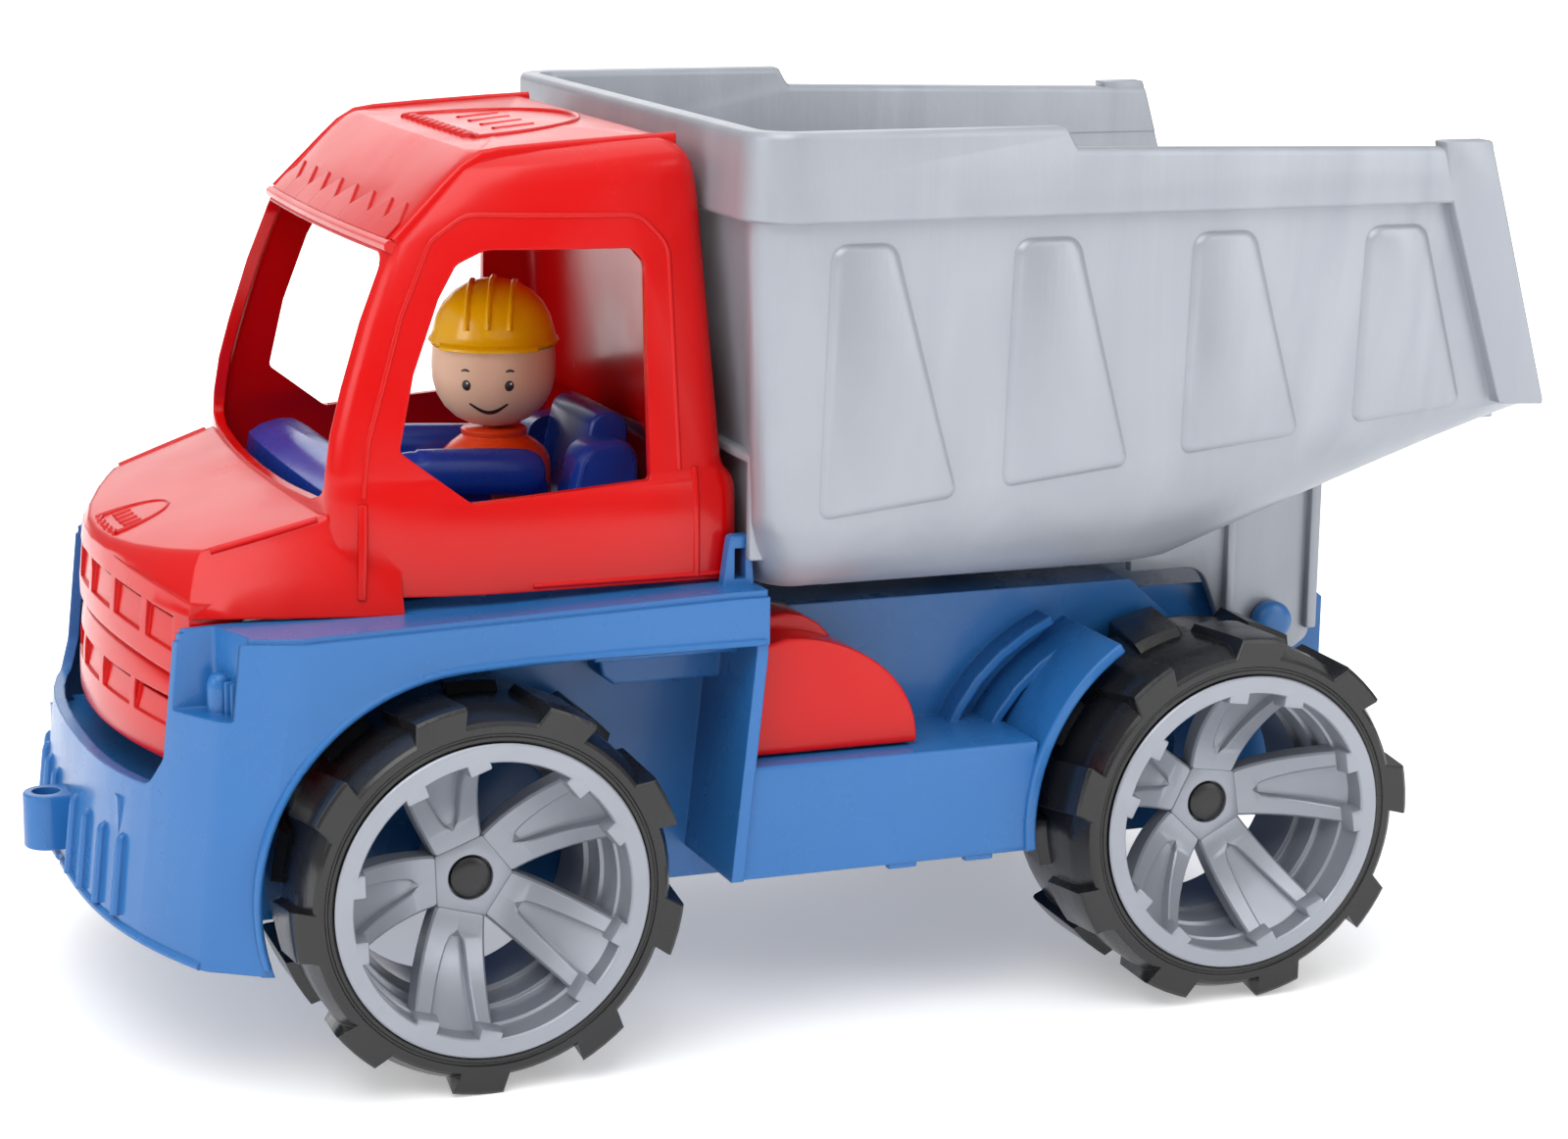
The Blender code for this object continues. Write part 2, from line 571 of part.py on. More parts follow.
for name, s in (("hinge_pin_left", 1), ("hinge_pin_right", -1)):
    pin = revolve([(0.0, 28.0), (PIVOT_R, 28.0), (PIVOT_R, 38.2), (4.2, 38.2), (4.2, 40.6), (3.2, 41.6), (0.0, 41.6)], 12,
                  (PIVOT_X, 0.0, PIVOT_Z), (0, s, 0))
    add(name, pin, M_BLUE, (PIVOT_X, 0.0, PIVOT_Z))


# ----------------------------------------------------------------------- wheels
def tyre(cx, s, phase):
    """Ring with staggered tread blocks along both edges."""
    cell = 360.0 / BLOCKS
    angs = []
    for k in range(BLOCKS):
        for off in (0.0, 16.2, 20.0, 36.2):
            angs.append(phase + k * cell + off)
    out_on = {0, 1}
    in_on = {2, 3}
    rings = []
    for idx, a in enumerate(angs):
        j = idx % 4
        ro = TYRE_R if j in out_on else TREAD_R
        ri = TYRE_R if j in in_on else TREAD_R
        mid = 59.2
        prof = [(BEAD_R + 0.3, TYRE_IN_Y), (32.6, TYRE_IN_Y), (ri - 0.9, TYRE_IN_Y + 1.2), (ri, TYRE_IN_Y + 3.0), (ri, mid - 0.6),
                (ro, mid + 0.6), (ro, TYRE_OUT_Y - 3.0), (ro - 0.9, TYRE_OUT_Y - 1.2), (32.6, TYRE_OUT_Y), (BEAD_R + 0.3, TYRE_OUT_Y)]
        ca, sa = math.cos(math.radians(a)), math.sin(math.radians(a))
        rings.append([(cx + r * ca, s * y, Z_AXLE + r * sa) for r, y in prof])
    n, m = len(rings), len(rings[0])
    verts = [p for r in rings for p in r]
    faces = []
    for i in range(n):
        for k in range(m):
            a, b = i * m + k, i * m + (k + 1) % m
            c, d = ((i + 1) % n) * m + (k + 1) % m, ((i + 1) % n) * m + k
            faces.append([a, b, c, d])
    return to_bm(verts, faces)


def rim(cx, s, phase):
    ring = revolve([(25.9, RIM_FACE_Y), (RIM_R, RIM_FACE_Y), (RIM_R, TYRE_OUT_Y + 0.35), (BEAD_R, TYRE_OUT_Y + 0.35),
                    (BEAD_R, TYRE_IN_Y + 1.0), (24.4, TYRE_IN_Y + 1.0), (24.4, 64.0), (25.9, 64.6)],
                   25, (cx, 0.0, Z_AXLE), (0, s, 0), closed=True, start=0.0)
    hub = prism_y([(cx + HUB_PLATE_R * math.cos(math.radians(phase + 72 * i)), Z_AXLE + HUB_PLATE_R * math.sin(math.radians(phase + 72 * i)))
                   for i in range(5)], *((57.9, HUB_FACE_Y - 0.6) if s > 0 else (-HUB_FACE_Y + 0.6, -57.9)))
    boss = rod_y(cx, Z_AXLE, 5.0, *((43.6, 58.5) if s > 0 else (-58.5, -43.6)), n=14)
    parts = [ring, hub, boss]
    for k in range(SPOKE_PAIRS):
        mid = math.radians(phase + 36 + 72 * k)
        for side in (-1, 1):
            rings = []
            for r, off, y, w, th in ((4.6, 3.0, 58.9, 1.1, 1.2), (15.0, 4.2, 62.6, 1.2, 1.4), (26.6, 6.3, 74.2, 1.5, 1.9)):
                pts = []
                for dw, dy in ((-w, -th), (w, -th), (w, th), (-w, th)):
                    q = side * off + dw
                    pts.append((cx + r * math.cos(mid) - q * math.sin(mid), s * (y + dy), Z_AXLE + r * math.sin(mid) + q * math.cos(mid)))
                rings.append(pts)
            parts.append(loft(rings))
    body = union(*parts)
    bore = rod_y(cx, Z_AXLE, AXLE_R + 0.3, *((40, 90) if s > 0 else (-90, -40)), n=14)
    seat = rod_y(cx, Z_AXLE, CAP_R + 0.35, *((58.8, 90) if s > 0 else (-90, -58.8)), n=12)
    return cut(body, bore, seat)


axles = {"front": (X_FRONT_AXLE, 106.0), "rear": (X_REAR_AXLE, 62.6)}
for end, (cx, phase) in axles.items():
    e = axis_empty(end + "_axle_axis", (cx, 0.0, Z_AXLE))
    o = (cx, 0.0, Z_AXLE)
    add(end + "_axle", revolve([(0.0, -AXLE_HALF), (AXLE_R, -AXLE_HALF), (AXLE_R, AXLE_HALF), (0.0, AXLE_HALF)], 14, o, (0, 1, 0)), M_STEEL, o, e)
    for side, s in (("left", 1), ("right", -1)):
        ph = phase if s > 0 else 180.0 - phase
        add("tyre_%s_%s" % (end, side), tyre(cx, s, -95.0 if end == "front" else -75.0), M_BLACK, o, e)
        add("rim_%s_%s" % (end, side), rim(cx, s, ph), M_RIM, o, e)
        add("hub_cap_%s_%s" % (end, side),
            revolve([(0.0, 59.1), (CAP_R, 59.1), (CAP_R, 60.4), (CAP_R - 0.6, 61.0), (0.0, 61.2)], 12, o, (0, s, 0)), M_BLACK, o, e)

# ----------------------------------------------------------------------- driver
DX, DY = 46.6, 1.0
legs = union(prism_y([(37.5, 94.6), (37.5, 99.6), (44.0, 100.2), (66.0, 98.6), (70.0, 96.0), (70.0, 91.0), (58.0, 90.6), (57.0, 94.3)], DY - 9.0, DY + 9.0))
add("driver_legs", legs, M_DEEP)
torso = loft([[(DX + a * rx * 1.0, DY + b * ry, z) for a, b in
               [(math.cos(math.radians(t)), math.sin(math.radians(t))) for t in range(0, 360, 24)]]
              for z, rx, ry in ((100.7, 8.8, 9.3), (103.4, 8.8, 9.2), (105.2, 8.0, 8.2), (106.8, 6.4, 6.4), (108.5, 6.3, 6.3))])
add("driver_torso", torso, M_ORANGE)
head = revolve([(0.0, 108.9), (5.0, 109.4), (9.7, 112.8), (11.8, 117.2), (12.1, 120.6), (11.9, 124.8), (0.0, 124.8)], 24,
               (DX, DY, 0.0), (0, 0, 1))
add("driver_head", head, M_SKIN, (DX, DY, 113.0))
helmet = revolve([(0.0, 125.2), (12.7, 125.2), (12.7, 126.2), (11.8, 127.2), (11.0, 131.0), (8.6, 134.8), (4.6, 137.3), (0.0, 138.0)], 24,
                 (DX, DY, 0.0), (0, 0, 1))
add("driver_helmet", helmet, M_YELLOW, (DX, DY, 113.0))
for name, s in (("driver_arm_left", 1), ("driver_arm_right", -1)):
    y = DY + s * 14.4
    arm = loft([[(x, y + 4.0 * math.sin(math.radians(t)) * f, z + 4.4 * math.cos(math.radians(t)) * f) for t in range(0, 360, 30)]
                for x, z, f in ((41.4, 101.9, 0.6), (43.6, 101.9, 1.0), (56.0, 102.6, 1.0), (67.4, 103.3, 0.92), (70.0, 103.4, 0.6))])
    add(name, arm, M_DEEP, (46.0, y, 101.9))
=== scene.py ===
"""Push-along toy tipper truck: looks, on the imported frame."""
import json
import math

import bmesh
import bpy
from mathutils import Matrix, Vector


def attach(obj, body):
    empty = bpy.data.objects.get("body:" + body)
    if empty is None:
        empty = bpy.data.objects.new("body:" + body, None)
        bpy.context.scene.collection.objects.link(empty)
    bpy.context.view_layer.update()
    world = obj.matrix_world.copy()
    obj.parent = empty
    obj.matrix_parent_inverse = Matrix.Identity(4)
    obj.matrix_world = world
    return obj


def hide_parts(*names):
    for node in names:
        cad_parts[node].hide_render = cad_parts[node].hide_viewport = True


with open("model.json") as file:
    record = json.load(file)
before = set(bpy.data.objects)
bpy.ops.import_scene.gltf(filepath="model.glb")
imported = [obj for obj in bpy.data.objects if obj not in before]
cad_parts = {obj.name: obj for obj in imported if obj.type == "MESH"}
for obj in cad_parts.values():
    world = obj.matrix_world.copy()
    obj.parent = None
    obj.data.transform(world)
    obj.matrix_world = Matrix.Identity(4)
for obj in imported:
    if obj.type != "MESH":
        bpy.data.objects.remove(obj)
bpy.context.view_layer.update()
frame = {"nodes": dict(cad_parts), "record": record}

MM = 0.001
DATUM = 0.76
X_SHIFT = 2.1
PIVOT_X, PIVOT_Z = -107.6, 66.3


def P(x, y, z):
    return Vector(((x + X_SHIFT) * MM, y * MM, (z + DATUM) * MM))


# ------------------------------------------------------------------- materials
def srgb(*c):
    return tuple(((v / 255.0 + 0.055) / 1.055) ** 2.4 if v > 10.3 else v / 255.0 / 12.92 for v in c)


def plastic(name, rgb, rough=0.25, metal=0.0, coat=0.0, vary=0.05, cells=30.0, bump=0.02, edge=0.0, streak=None,
            scratches=0.0, specular=0.5, sss=0.0):
    """Moulded plastic: uneven pigment, uneven gloss, faint orange-peel skin and softened mould edges."""
    m = bpy.data.materials.new(name)
    m.use_nodes = True
    nt = m.node_tree
    b = nt.nodes["Principled BSDF"]
    b.inputs["Metallic"].default_value = metal
    b.inputs["Specular IOR Level"].default_value = specular
    b.inputs["Coat Weight"].default_value = coat
    b.inputs["Coat Roughness"].default_value = 0.08
    if sss:
        b.inputs["Subsurface Weight"].default_value = sss
        b.inputs["Subsurface Radius"].default_value = (0.004, 0.0015, 0.001)
        b.inputs["Subsurface Scale"].default_value = 1.0
    co = nt.nodes.new("ShaderNodeTexCoord")
    n1 = nt.nodes.new("ShaderNodeTexNoise")
    n1.inputs["Scale"].default_value = cells
    n1.inputs["Detail"].default_value = 4.0
    nt.links.new(co.outputs["Object"], n1.inputs["Vector"])
    ramp = nt.nodes.new("ShaderNodeValToRGB")
    ramp.color_ramp.elements[0].position = 0.3
    ramp.color_ramp.elements[1].position = 0.72
    ramp.color_ramp.elements[0].color = (*[max(0.0, c * (1.0 - vary)) for c in rgb], 1.0)
    ramp.color_ramp.elements[1].color = (*[min(1.0, c * (1.0 + vary)) for c in rgb], 1.0)
    nt.links.new(n1.outputs["Fac"], ramp.inputs["Fac"])
    colour = ramp.outputs["Color"]
    if streak:
        # flow marks of the pigment: long soft bands warped by noise
        dark, light, amount = streak
        mp = nt.nodes.new("ShaderNodeMapping")
        mp.inputs["Scale"].default_value = (38.0, 38.0, 7.0)
        mp.inputs["Rotation"].default_value = (0.0, 0.35, 0.2)
        nt.links.new(co.outputs["Object"], mp.inputs["Vector"])
        n2 = nt.nodes.new("ShaderNodeTexNoise")
        n2.inputs["Scale"].default_value = 1.0
        n2.inputs["Detail"].default_value = 5.0
        n2.inputs["Distortion"].default_value = 1.6
        nt.links.new(mp.outputs["Vector"], n2.inputs["Vector"])
        r2 = nt.nodes.new("ShaderNodeValToRGB")
        r2.color_ramp.elements[0].position = 0.36
        r2.color_ramp.elements[1].position = 0.66
        r2.color_ramp.elements[0].color = (*dark, 1.0)
        r2.color_ramp.elements[1].color = (*light, 1.0)
        nt.links.new(n2.outputs["Fac"], r2.inputs["Fac"])
        mx = nt.nodes.new("ShaderNodeMix")
        mx.data_type = "RGBA"
        mx.blend_type = "MULTIPLY"
        mx.inputs["Factor"].default_value = amount
        nt.links.new(colour, mx.inputs["A"])
        nt.links.new(r2.outputs["Color"], mx.inputs["B"])
        colour = mx.outputs["Result"]
    nt.links.new(colour, b.inputs["Base Color"])
    # gloss that varies a little over the surface
    n3 = nt.nodes.new("ShaderNodeTexNoise")
    n3.inputs["Scale"].default_value = cells * 2.6
    n3.inputs["Detail"].default_value = 6.0
    nt.links.new(co.outputs["Object"], n3.inputs["Vector"])
    mr = nt.nodes.new("ShaderNodeMapRange")
    mr.inputs["From Min"].default_value = 0.3
    mr.inputs["From Max"].default_value = 0.7
    mr.inputs["To Min"].default_value = max(0.02, rough - 0.05)
    mr.inputs["To Max"].default_value = rough + 0.07
    nt.links.new(n3.outputs["Fac"], mr.inputs["Value"])
    nt.links.new(mr.outputs["Result"], b.inputs["Roughness"])
    # skin of the moulding
    n4 = nt.nodes.new("ShaderNodeTexNoise")
    n4.inputs["Scale"].default_value = 420.0
    n4.inputs["Detail"].default_value = 2.0
    nt.links.new(co.outputs["Object"], n4.inputs["Vector"])
    bp = nt.nodes.new("ShaderNodeBump")
    bp.inputs["Strength"].default_value = bump
    bp.inputs["Distance"].default_value = 0.001
    nt.links.new(n4.outputs["Fac"], bp.inputs["Height"])
    last = bp
    if scratches:
        mp = nt.nodes.new("ShaderNodeMapping")
        mp.inputs["Scale"].default_value = (900.0, 900.0, 60.0)
        mp.inputs["Rotation"].default_value = (0.5, 0.7, 0.3)
        nt.links.new(co.outputs["Object"], mp.inputs["Vector"])
        n5 = nt.nodes.new("ShaderNodeTexNoise")
        n5.inputs["Scale"].default_value = 1.0
        nt.links.new(mp.outputs["Vector"], n5.inputs["Vector"])
        b2 = nt.nodes.new("ShaderNodeBump")
        b2.inputs["Strength"].default_value = scratches
        b2.inputs["Distance"].default_value = 0.0006
        nt.links.new(n5.outputs["Fac"], b2.inputs["Height"])
        nt.links.new(bp.outputs["Normal"], b2.inputs["Normal"])
        last = b2
    if edge:
        be = nt.nodes.new("ShaderNodeBevel")
        be.samples = 4
        be.inputs["Radius"].default_value = edge * MM
        nt.links.new(be.outputs["Normal"], bp.inputs["Normal"])
    nt.links.new(last.outputs["Normal"], b.inputs["Normal"])
    m.diffuse_color = (*rgb, 1.0)
    return m


RED = plastic("red_moulding", srgb(196, 5, 5), 0.21, coat=0.05, specular=0.30, vary=0.05, cells=22, bump=0.015, edge=0.55)
BLUE = plastic("blue_moulding", srgb(40, 104, 168), 0.27, coat=0.08, specular=0.42, vary=0.05, cells=22, bump=0.02, edge=0.55)
DEEP = plastic("interior_moulding", srgb(22, 62, 160), 0.26, coat=0.15, vary=0.06, cells=30, bump=0.02, edge=0.4)
SILVER = plastic("silver_moulding", srgb(160, 164, 172), 0.36, metal=0.30, vary=0.03, cells=20, bump=0.03, edge=0.5,
                 streak=((0.80, 0.81, 0.83), (1.0, 1.0, 1.0), 0.55), scratches=0.05)
RIMM = plastic("rim_moulding", srgb(150, 154, 163), 0.33, metal=0.42, vary=0.04, cells=60, bump=0.02, edge=0.25)
BLACK = plastic("tyre_moulding", (0.011, 0.011, 0.012), 0.24, vary=0.2, cells=60, bump=0.03, edge=0.3, scratches=0.08)
CAPM = plastic("cap_moulding", (0.012, 0.012, 0.013), 0.30, vary=0.2, cells=80, bump=0.03, edge=0.2)
STEEL = plastic("axle_rod", (0.60, 0.60, 0.62), 0.25, metal=1.0, vary=0.05, cells=90, bump=0.02, scratches=0.1)
YELLOW = plastic("helmet_moulding", srgb(250, 190, 4), 0.22, coat=0.2, vary=0.05, cells=50, bump=0.015, edge=0.25, sss=0.1)
SKIN = plastic("head_moulding", srgb(238, 196, 164), 0.40, vary=0.02, cells=60, bump=0.01, sss=0.25)
ORANGE = plastic("torso_moulding", srgb(240, 70, 16), 0.27, coat=0.15, vary=0.05, cells=50, bump=0.015, edge=0.25)
INK = plastic("printed_ink", (0.02, 0.012, 0.01), 0.35, vary=0.1, cells=90, bump=0.01)
GLINT = plastic("printed_white", (0.9, 0.9, 0.9), 0.35, vary=0.02, cells=90, bump=0.01)

finish = {"blue_plastic": BLUE, "red_plastic": RED, "interior_plastic": DEEP, "silver_plastic": SILVER,
          "rim_plastic": RIMM, "black_plastic": BLACK, "axle_steel": STEEL, "torso_plastic": ORANGE,
          "head_plastic": SKIN, "helmet_plastic": YELLOW}
slot_of = {s["node"]: s["material_slot"] for s in frame["record"]["subparts"]}
for node, ob in frame["nodes"].items():
    mat = CAPM if node.startswith("hub_cap") else finish[slot_of[node]]
    if not ob.material_slots:
        ob.data.materials.append(mat)
    for ms in ob.material_slots:
        ms.material = mat


# ------------------------------------------------------------------- modelling
def to_bm(verts, faces):
    bm = bmesh.new()
    vs = [bm.verts.new(P(*v)) for v in verts]
    for f in faces:
        bm.faces.new([vs[i] for i in f])
    bmesh.ops.recalc_face_normals(bm, faces=bm.faces)
    bent = []
    for f in bm.faces:
        c = f.calc_center_median()
        if len(f.verts) > 4 and max(abs((v.co - c).dot(f.normal)) for v in f.verts) > 1e-7:
            bent.append(f)
    bmesh.ops.triangulate(bm, faces=bent)
    if bm.calc_volume(signed=True) < 0:
        bmesh.ops.reverse_faces(bm, faces=bm.faces)
    return bm


def loft(rings, closed=False):
    n = len(rings[0])
    verts = [p for r in rings for p in r]
    faces = [] if closed else [list(range(n))[::-1], [(len(rings) - 1) * n + i for i in range(n)]]
    m = len(rings)
    for k in range(m if closed else m - 1):
        for i in range(n):
            j = (i + 1) % n
            q = (k + 1) % m
            faces.append([k * n + i, k * n + j, q * n + j, q * n + i])
    return to_bm(verts, faces)


def prism_y(pts, y0, y1):
    return loft([[(x, y, z) for x, z in pts] for y in (y0, y1)])


def prism_z(pts, z0, z1):
    return loft([[(x, y, z) for x, y in pts] for z in (z0, z1)])


def prism_x(pts, x0, x1):
    return loft([[(x, y, z) for y, z in pts] for x in (x0, x1)])


def box(x0, x1, y0, y1, z0, z1):
    return prism_z([(x0, y0), (x1, y0), (x1, y1), (x0, y1)], z0, z1)


def arc(cx, cy, r, a0, a1, n):
    return [(cx + r * math.cos(math.radians(a0 + (a1 - a0) * i / n)),
             cy + r * math.sin(math.radians(a0 + (a1 - a0) * i / n))) for i in range(n + 1)]


def fillet(pts, radii, n=5):
    """Rounds the corners of a closed 2-D outline."""
    out = []
    m = len(pts)
    for i, p in enumerate(pts):
        r = radii[i] if isinstance(radii, (list, tuple)) else radii
        a, b, c = Vector(pts[i - 1]), Vector(p), Vector(pts[(i + 1) % m])
        u, w = a - b, c - b
        if r <= 0 or u.length < 1e-6 or w.length < 1e-6:
            out.append(tuple(b))
            continue
        ang = u.angle(w)
        t = r / math.tan(ang / 2)
        t = min(t, 0.49 * u.length, 0.49 * w.length)
        r = t * math.tan(ang / 2)
        s, e = b + u.normalized() * t, b + w.normalized() * t
        mid = b + (u.normalized() + w.normalized()).normalized() * (r / math.sin(ang / 2))
        for k in range(n + 1):
            f = k / n
            d = ((s - mid) * math.sin((1 - f) * (math.pi - ang)) + (e - mid) * math.sin(f * (math.pi - ang))) / math.sin(math.pi - ang)
            out.append(tuple(mid + d))
    return out


def revolve(profile, n, origin, axis, closed=False, start=0.0):
    ax = Vector(axis).normalized()
    u = ax.orthogonal().normalized()
    w = ax.cross(u)
    o = Vector(origin)
    bm = bmesh.new()
    rings = []
    for r, h in profile:
        if r < 1e-6:
            rings.append([bm.verts.new(P(*(o + ax * h)))])
        else:
            rings.append([bm.verts.new(P(*(o + ax * h + u * (r * math.cos(start + 2 * math.pi * i / n))
                                           + w * (r * math.sin(start + 2 * math.pi * i / n)))))
                          for i in range(n)])
    pairs = list(zip(rings[:-1], rings[1:]))
    if closed:
        pairs.append((rings[-1], rings[0]))
    for a, b in pairs:
        for i in range(n):
            j = (i + 1) % n
            if len(a) == 1:
                bm.faces.new([a[0], b[j], b[i]])
            elif len(b) == 1:
                bm.faces.new([a[i], a[j], b[0]])
            else:
                bm.faces.new([a[i], a[j], b[j], b[i]])
    bmesh.ops.recalc_face_normals(bm, faces=bm.faces)
    return bm


def soften(bm, width, segs=3, angle=25.0):
    """Rounds the edges of a simple closed solid."""
    edges = [e for e in bm.edges if len(e.link_faces) == 2 and e.calc_face_angle(0) > math.radians(angle)]
    bmesh.ops.bevel(bm, geom=edges, offset=width * MM, offset_type="OFFSET", segments=segs, profile=0.5,
                    affect="EDGES", clamp_overlap=True)
    bmesh.ops.recalc_face_normals(bm, faces=bm.faces)
    return bm


def temp_object(bm):
    me = bpy.data.meshes.new("tmp")
    bm.to_mesh(me)
    bm.free()
    ob = bpy.data.objects.new("tmp", me)
    bpy.context.scene.collection.objects.link(ob)
    return ob


def combine(first, others, op):
    if not others:
        return first
    base = temp_object(first)
    tools = [temp_object(o) for o in others]
    for t in tools:
        m = base.modifiers.new("b", "BOOLEAN")
        m.operation = op
        m.solver = "EXACT"
        m.object = t
    bpy.context.view_layer.update()
    me = bpy.data.meshes.new_from_object(base.evaluated_get(bpy.context.evaluated_depsgraph_get()))
    bm = bmesh.new()
    bm.from_mesh(me)
    for ob in [base] + tools:
        bpy.data.objects.remove(ob, do_unlink=True)
    bpy.data.meshes.remove(me)
    bmesh.ops.remove_doubles(bm, verts=bm.verts, dist=0.000001)
    bmesh.ops.dissolve_limit(bm, angle_limit=math.radians(0.2), verts=bm.verts, edges=bm.edges)
    return bm


def union(*solids):
    return combine(solids[0], list(solids[1:]), "UNION")


def cut(solid, *tools):
    return combine(solid, list(tools), "DIFFERENCE")


def cut_each(solid, *tools):
    """Cuts the tools one after another and leaves out a cut that would break the solid."""
    for t in tools:
        before = solid.calc_volume()
        for shift in ((0.0, 0.0, 0.0), (0.0, 0.0, 0.04), (0.02, 0.05, 0.03), (-0.03, -0.05, 0.05)):
            tool = t.copy()
            bmesh.ops.translate(tool, vec=Vector(shift) * MM, verts=tool.verts)
            got = combine(solid.copy(), [tool], "DIFFERENCE")
            if got.calc_volume() > 0.08 * before and all(len(e.link_faces) == 2 for e in got.edges):
                solid.free()
                solid = got
                break
            got.free()
        t.free()
    return solid


def piece(name, bm, mat, body, nodes=(), sharp=30.0):
    me = bpy.data.meshes.new(name)
    bm.to_mesh(me)
    bm.free()
    me.materials.append(mat)
    me.shade_smooth()
    if sharp:
        me.set_sharp_from_angle(angle=math.radians(sharp))
    ob = bpy.data.objects.new(name, me)
    bpy.context.scene.collection.objects.link(ob)
    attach(ob, body)
    if nodes:
        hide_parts(*nodes)
    return ob


# ---------------------------------------------------------------------- wheels
X_FRONT_AXLE, X_REAR_AXLE, Z_AXLE = 69.3, -82.9, 35.9


def lerp(a, b, t):
    return a + (b - a) * t


def tyre(cx, s, phase):
    rings = []
    offs = [(0.0, 0, 0), (0.6, 1, 0), (3.6, 1, 0), (8.1, 1, 0), (12.6, 1, 0), (15.6, 1, 0), (16.2, 0, 0), (20.0, 0, 0), (20.6, 0, 1),
            (23.6, 0, 1), (28.1, 0, 1), (32.6, 0, 1), (35.6, 0, 1), (36.2, 0, 0), (38.1, 0, 0)]
    mid = 59.2
    for k in range(9):
        for off, o, i in offs:
            ring = []
            prof = [(28.3, 42.4), (31.6, 42.4)]
            prof += [(36.0, 42.4), (36.6, 42.7), (36.8, 43.4), (36.8, 48.0), (36.8, mid - 0.7)] if i else \
                    [(32.6, 42.4), (33.4, 42.7), (34.7, 45.2), (35.0, 48.0), (35.0, mid - 0.7)]
            prof += [(36.8, mid + 0.7), (36.8, 70.0), (36.8, 74.6), (36.6, 75.4), (36.0, 75.8)] if o else \
                    [(35.0, mid + 0.7), (35.0, 69.0), (34.7, 71.8), (33.2, 75.3), (32.5, 75.8)]
            prof += [(31.6, 75.8), (31.2, 75.8), (31.0, 75.5), (30.6, 75.5), (30.4, 75.8), (29.75, 75.8), (29.7, 75.4), (28.3, 75.4)]
            for r, y in prof:
                slant = 4.0 * (abs(y - mid) / 16.6 - 0.5) if r > 33.9 else 0.0
                a = math.radians(phase + 40 * k + off + slant)
                ring.append((cx + r * math.cos(a), s * y, Z_AXLE + r * math.sin(a)))
            rings.append(ring)
    return loft(rings, closed=True)


def dish(r):
    t = max(0.0, (r - 7.0) / 19.0)
    return 60.5 + 14.4 * (0.25 * t + 0.75 * t * t)


def spoke_pair(cx, s, mid):
    rings = []
    for r in (5.0, 7.0, 9.0, 10.0, 10.6, 11.4, 13.0, 15.0, 17.5, 20.0, 22.5, 24.4, 25.6, 26.6):
        w = 4.9 + 3.0 * max(0.0, (r - 7.0) / 19.0)
        if r < 7.0:
            w = 3.8
        yt = dish(r)
        f = max(0.0, min(1.0, (r - 10.0) / 1.6))
        w2 = 0.15 + 0.9 * f + 3.9 * max(0.0, (r - 10.6) / 16.0) ** 0.9
        dep = f * (1.3 + 1.9 * max(0.0, (r - 10.6) / 16.0))
        th = 3.4 + 1.4 * max(0.0, (r - 7.0) / 19.0)
        prof = [(-w - 0.25, yt - th), (-w, yt - 0.5), (-w + 0.45, yt), (-w2 - 0.35, yt), (-w2, yt - 0.35 * f - 0.01), (-w2 + 0.3 * f, yt - dep - 0.02),
                (-w2 * 0.45, yt - dep - 0.02), (w2 * 0.45, yt - dep - 0.02), (w2 - 0.3 * f, yt - dep - 0.02), (w2, yt - 0.35 * f - 0.01), (w2 + 0.35, yt), (w - 0.45, yt),
                (w, yt - 0.5), (w + 0.25, yt - th), (w * 0.4, yt - th), (-w * 0.4, yt - th)]
        ring = []
        for q, y in prof:
            ring.append((cx + r * math.cos(mid) - q * math.sin(mid), s * y, Z_AXLE + r * math.sin(mid) + q * math.cos(mid)))
        rings.append(ring)
    return loft(rings)


def tab(cx, s, mid, q, r0=23.5, r1=26.4, w=2.1, y0=72.4, y1=76.5):
    pts = []
    for y in (y0, y1):
        k = 0.0 if y == y1 else 0.35
        ring = []
        for r, dq in ((r0 - k, -w - k), (r1, -w - k), (r1, w + k), (r0 - k, w + k)):
            qq = q + dq
            ring.append((cx + r * math.cos(mid) - qq * math.sin(mid), s * y, Z_AXLE + r * math.sin(mid) + qq * math.cos(mid)))
        pts.append(ring)
    bm = loft(pts)
    return soften(bm, 0.35, 2)


def rim(cx, s, phase):
    ring = revolve([(25.9, 76.1), (26.2, 76.5), (29.1, 76.5), (29.4, 76.2), (29.4, 75.95), (28.0, 75.95), (28.0, 43.4), (23.0, 43.4),
                    (23.0, 57.0), (23.9, 57.1), (24.1, 57.4), (24.2, 63.0), (24.9, 63.2), (25.1, 63.5), (25.2, 70.0), (25.7, 70.3), (25.85, 70.8)],
                   120, (cx, 0.0, Z_AXLE), (0, s, 0), closed=True)
    pent = [(8.15 * math.cos(math.radians(phase + 72 * i)), 8.15 * math.sin(math.radians(phase + 72 * i))) for i in range(5)]
    pent = [(cx + x, Z_AXLE + z) for x, z in pent]
    hub = soften(prism_y(pent, *((57.0, 60.75) if s > 0 else (-60.75, -57.0))), 0.3, 2)
    boss = revolve([(0.0, 43.6), (5.2, 43.6), (5.4, 58.0), (0.0, 58.0)], 32, (cx, 0, Z_AXLE), (0, s, 0))
    parts = [ring, hub, boss]
    for k in range(5):
        mid = math.radians(phase + 36 + 72 * k)
        parts.append(spoke_pair(cx, s, mid))
        for q in (-6.15, 6.15):
            parts.append(tab(cx, s, mid, q))
    body = union(*parts)
    seat = revolve([(0.0, 58.8), (4.2, 58.8), (4.2, 60.5), (4.6, 61.2), (0.0, 61.2)], 40, (cx, 0, Z_AXLE), (0, s, 0))
    return cut(body, seat)


